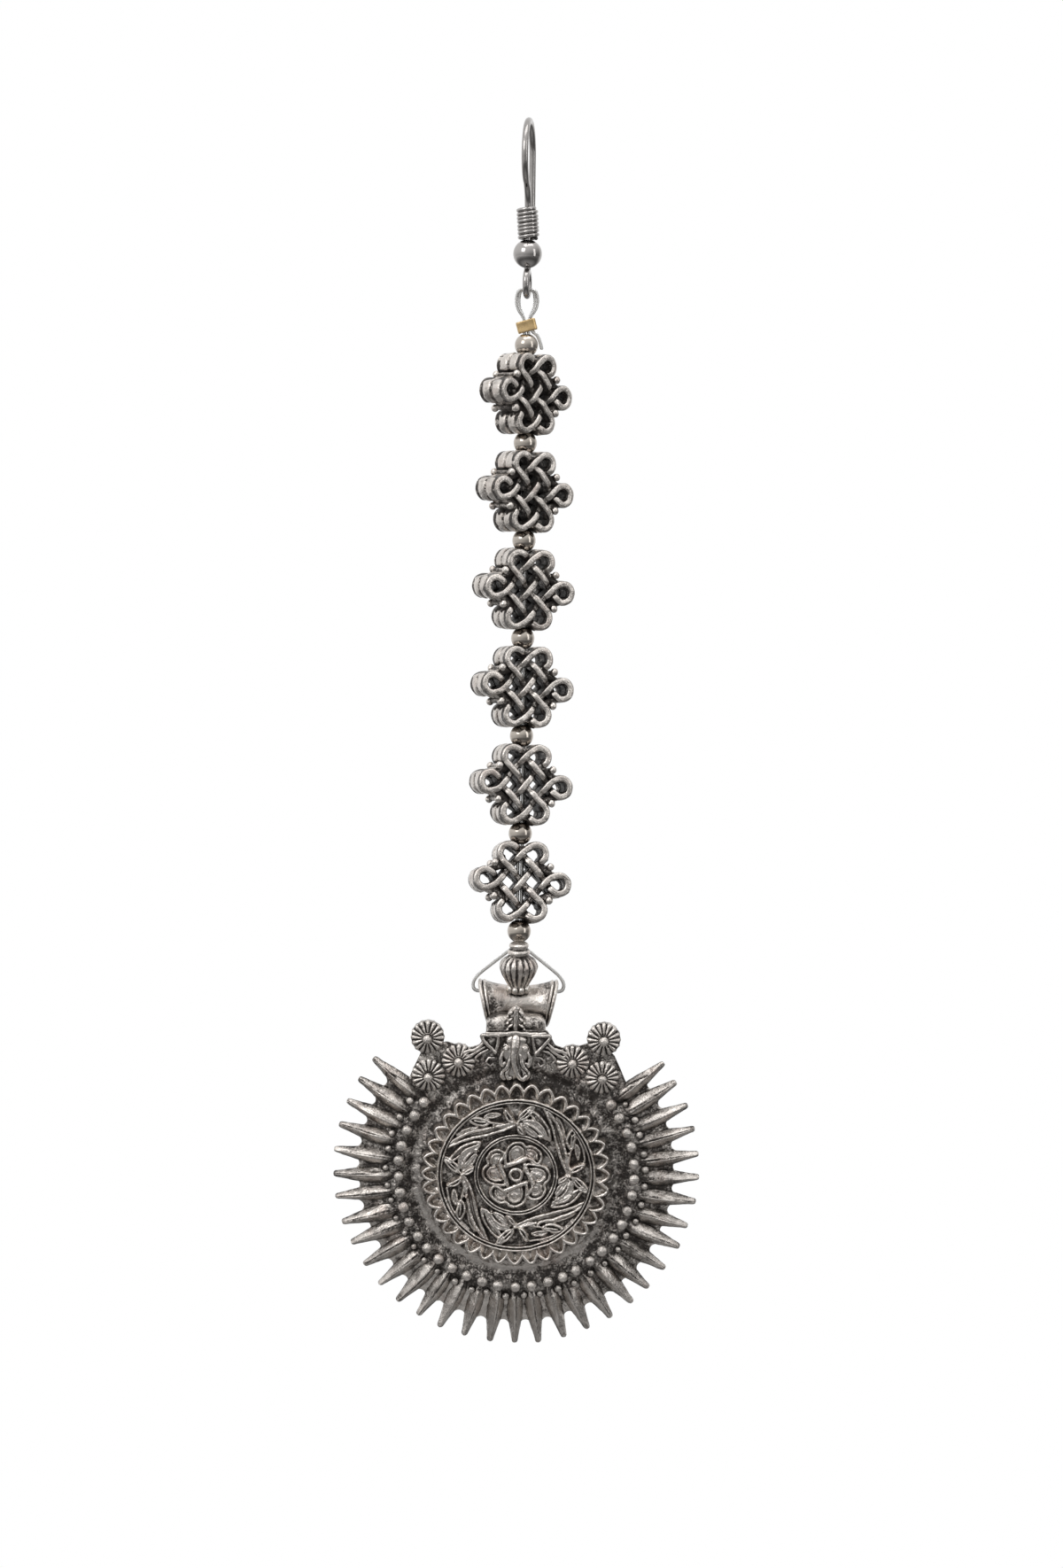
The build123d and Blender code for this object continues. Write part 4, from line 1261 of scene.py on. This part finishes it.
def oxidised_silver():
    """Cast silver-tone alloy: polished where it stands out, dark with oxide and grainy in the recesses. The
    relief it reads also brings painted light and shade on some parts.
    """
    material, graph, shader = new_material("oxidised_silver")
    coords = graph.place()
    relief = graph.relief()
    cavity = graph.add("AmbientOcclusion")
    cavity.samples = 6
    cavity.inputs["Distance"].default_value = 0.0007
    point = graph.add("NewGeometry").outputs["Pointiness"]
    patches = graph.noise(coords, 620, 5.0, 0.62)
    blotches = graph.noise(coords, 1700, 5.0, 0.65)
    specks = graph.noise(coords, 5200, 4.0, 0.7)
    tint = graph.noise(coords, 420, 4.0, 0.6)
    hollow = graph.spread(relief, 0.15, 0.75, 1.0, 0.25)
    # relief brings rubbed wear and oxide, and on the dish, ruff and spikes also painted light and shade,
    # into the colour
    wear_and_painted_light = graph.math("MULTIPLY", relief, 0.85)
    edge = graph.spread(point, 0.46, 0.57, -0.12, 0.28)
    wear_and_painted_light = graph.math("ADD", wear_and_painted_light, edge)
    coarse = graph.spread(patches, 0.30, 0.70, -0.16, 0.16)
    mottle = graph.math("ADD", coarse, graph.spread(blotches, 0.32, 0.68, -0.20, 0.20))
    mottle = graph.math("ADD", mottle, graph.spread(specks, 0.36, 0.64, -0.26, 0.26))
    wear_and_painted_light = graph.math("ADD", wear_and_painted_light, graph.math("MULTIPLY", mottle, hollow))
    open_sky = graph.spread(cavity.outputs["AO"], 0.18, 0.70, 0.02, 1.0)
    wear_and_painted_light = graph.math("MULTIPLY", wear_and_painted_light, open_sky, True)
    oxide = graph.mix(blotches, (0.007, 0.0058, 0.005), (0.075, 0.061, 0.052))
    bright = graph.mix(patches, (0.48, 0.44, 0.405), (0.88, 0.83, 0.78))
    warm = graph.spread(tint, 0.52, 0.72, 0.0, 0.55)
    silver = graph.mix(warm, bright, (0.50, 0.41, 0.365))
    wear_and_painted_light_share = graph.spread(wear_and_painted_light, 0.10, 0.66)
    graph.put(graph.mix(wear_and_painted_light_share, oxide, silver), shader["Base Color"])
    graph.put(graph.spread(wear_and_painted_light, 0.05, 0.35, 0.30, 1.0), shader["Metallic"])
    rough = graph.spread(wear_and_painted_light, 0.1, 0.8, 0.40, 0.12)
    rough = graph.math("ADD", rough, graph.spread(blotches, 0.3, 0.7, -0.05, 0.08))
    graph.put(rough, shader["Roughness"])
    grit = graph.bump(graph.math("MULTIPLY", specks, hollow), 0.00014, 0.9)
    lumps = graph.bump(graph.math("MULTIPLY", blotches, hollow), 0.00026, 0.45, grit)
    graph.put(graph.bump(patches, 0.0006, 0.36, lumps), shader["Normal"])
    return material


def polished_steel(name, low, high, roughness):
    """Drawn or turned steel with a faint oxide mottle and fine scratches, and painted shade where its
    relief is low.
    """
    material, graph, shader = new_material(name)
    coords = graph.place()
    relief = graph.relief()
    mottle = graph.noise(coords, 700, 5.0, 0.6)
    fine = graph.noise(coords, 5200, 3.0, 0.6)
    colour = graph.mix(mottle, low, high)
    # painted shade: near-black where the relief is low, inside the drilled holes and on the coil's side
    # against the stem
    dark = graph.spread(relief, 0.0, 0.45, 0.75, 0.0)
    graph.put(graph.mix(dark, colour, (0.05, 0.047, 0.045)), shader["Base Color"])
    shader["Metallic"].default_value = 1.0
    rough = graph.spread(mottle, 0.25, 0.75, roughness - 0.05, roughness + 0.10)
    graph.put(rough, shader["Roughness"])
    graph.put(graph.bump(fine, 0.00002, 0.35), shader["Normal"])
    return material


def brass():
    material, graph, shader = new_material("brass")
    coords = graph.place()
    mottle = graph.noise(coords, 1500, 5.0, 0.6)
    colour = graph.mix(mottle, (0.44, 0.29, 0.12), (0.84, 0.63, 0.35))
    graph.put(colour, shader["Base Color"])
    shader["Metallic"].default_value = 1.0
    graph.put(graph.spread(mottle, 0.3, 0.7, 0.28, 0.45), shader["Roughness"])
    graph.put(graph.bump(mottle, 0.00006, 0.4), shader["Normal"])
    return material


def clear_nylon():
    material, graph, shader = new_material("clear_nylon")
    coords = graph.place()
    cloudy = graph.noise(coords, 900, 3.0, 0.5)
    colour = graph.mix(cloudy, (0.46, 0.45, 0.43), (0.66, 0.65, 0.63))
    graph.put(colour, shader["Base Color"])
    graph.put(graph.spread(cloudy, 0.3, 0.7, 0.08, 0.20), shader["Roughness"])
    shader["IOR"].default_value = 1.53
    shader["Transmission Weight"].default_value = 0.72
    return material


# ---- the stage ----

# the camera, in metres and degrees, and the height and top of what it sees, in millimetres
CAMERA_DISTANCE = 1.10
CAMERA_SIDE = 0.0011
CAMERA_ROLL = -0.72
FRAME_HEIGHT = 162.84
FRAME_TOP = 12.88
WHITE = (1.0, 1.0, 1.0)


def grey(level):
    return (level, level, level)


def add_camera():
    data = bpy.data.cameras.new("camera")
    data.sensor_width = 36.0
    data.lens = 36.0 * CAMERA_DISTANCE / (FRAME_HEIGHT * MM)
    data.clip_start, data.clip_end = 0.01, 20.0
    camera = bpy.data.objects.new("camera", data)
    bpy.context.scene.collection.objects.link(camera)
    camera.location = (CAMERA_SIDE, -CAMERA_DISTANCE, (FRAME_TOP - FRAME_HEIGHT / 2) * MM)
    camera.rotation_euler = (radians(90), radians(CAMERA_ROLL), 0)
    bpy.context.scene.camera = camera


def add_area(name, place, target, size, power):
    data = bpy.data.lights.new(name, "AREA")
    data.shape = "RECTANGLE"
    data.size, data.size_y = size
    data.energy = power
    lamp = bpy.data.objects.new(name, data)
    bpy.context.scene.collection.objects.link(lamp)
    lamp.location = place
    lamp.rotation_euler = (Vector(target) - Vector(place)).to_track_quat("-Z", "Y").to_euler()


def studio_tone(graph, x, y, z):
    """What metal mirrors of the studio in one direction: white behind, light above and on the left."""
    leftward = graph.math("MULTIPLY", x, -0.32)
    upward = graph.math("MULTIPLY", z, 0.90)
    ceiling = graph.spread(graph.math("ADD", upward, leftward), -0.66, 0.72)
    front = graph.mix(ceiling, grey(0.09), WHITE)
    return graph.mix(graph.spread(y, 0.20, 0.75), front, WHITE)


def add_world():
    """White behind, as the camera, clear things and metal see it, and a dim room in front."""
    world = bpy.data.worlds.new("studio")
    bpy.context.scene.world = world
    world.use_nodes = True
    graph = Graph(world.node_tree)
    background = graph.nodes["Background"].inputs
    paths = graph.add("LightPath").outputs
    seen = graph.seen_by_camera(paths)
    split = graph.add("SeparateXYZ")
    graph.put(graph.add("TexCoord").outputs["Generated"], split.inputs[0])
    mirrored = studio_tone(graph, *split.outputs)
    height = graph.spread(split.outputs["Z"], 0.0, 0.9)
    soft = graph.mix(height, grey(0.24), grey(0.50))
    room = graph.mix(paths["Is Glossy Ray"], soft, mirrored)
    graph.put(graph.mix(seen, room, WHITE), background["Color"])
    background["Strength"].default_value = 1.0


FLOOR_DROP = 0.12
FLOOR_R = 1.6


def add_floor():
    """A round pale floor below the jewel that keeps its shadow and fades into the white far off."""
    z = cad_low.z - FLOOR_DROP
    around = [(FLOOR_R * cos(a), FLOOR_R * sin(a), z) for a in circle(96)]
    mesh = bpy.data.meshes.new("floor")
    mesh.from_pydata(around, [], [range(len(around))])
    material, graph, shader = new_material("pale_floor")
    coords = graph.place()
    mottle = graph.noise(coords, 3.0, 3.0, 0.5)
    graph.put(graph.mix(mottle, grey(0.90), grey(0.94)), shader["Base Color"])
    shader["Roughness"].default_value = 0.9
    split = graph.add("SeparateXYZ")
    graph.put(coords, split.inputs[0])
    x, y = split.outputs["X"], split.outputs["Y"]
    x_squared = graph.math("POWER", x, 2.0)
    away = graph.math("SQRT", graph.math("ADD", x_squared, graph.math("POWER", y, 2.0)), 0.0)
    paths = graph.add("LightPath").outputs
    fade = graph.math("MULTIPLY", graph.seen_by_camera(paths), graph.spread(away, 0.35, 0.95))
    fade = graph.math("MAXIMUM", fade, paths["Is Glossy Ray"])
    sideways = graph.math("DIVIDE", x, away)
    horizon = studio_tone(graph, sideways, graph.math("DIVIDE", y, away), 0.0)
    below = graph.mix(graph.spread(away, 0.05, 0.30), grey(0.40), grey(0.10))
    tone = graph.mix(graph.spread(away, 0.15, 0.9), below, horizon)
    glow = graph.add("Emission")
    graph.put(graph.mix(paths["Is Glossy Ray"], WHITE, tone), glow.inputs["Color"])
    blend = graph.add("MixShader")
    parts = (fade, graph.nodes["Principled BSDF"].outputs[0], glow.outputs[0])
    for value, socket in zip(parts, blend.inputs):
        graph.put(value, socket)
    graph.put(blend.outputs[0], graph.nodes["Material Output"].inputs["Surface"])
    mesh.materials.append(material)
    floor = bpy.data.objects.new("floor", mesh)
    bpy.context.scene.collection.objects.link(floor)


def main():
    bpy.context.scene.view_settings.view_transform = "Standard"
    steel = polished_steel("polished_steel", (0.30, 0.285, 0.275), (0.52, 0.50, 0.485), 0.13)
    dark_steel = polished_steel("dark_steel", (0.38, 0.34, 0.30), (0.60, 0.55, 0.49), 0.12)
    silver = oxidised_silver()
    for make in (hook, coil, hook_ball):
        make(steel)
    round_beads(dark_steel)
    thread(clear_nylon())
    crimp(brass())
    for make in (knot_beads, dish, medallion, ruff, rim_balls, spikes, flowers, bail, bud, elephant, neck):
        make(silver)
    add_camera()
    add_world()
    add_floor()
    target = (0, 0, -0.07)
    add_area("key", (-0.50, -0.60, 0.42), target, (0.42, 0.42), 1.6)
    add_area("fill", (0.70, -0.42, 0.10), target, (0.22, 0.8), 0.9)
    add_area("top", (0.05, -0.10, 0.62), target, (0.7, 0.35), 1.3)


main()
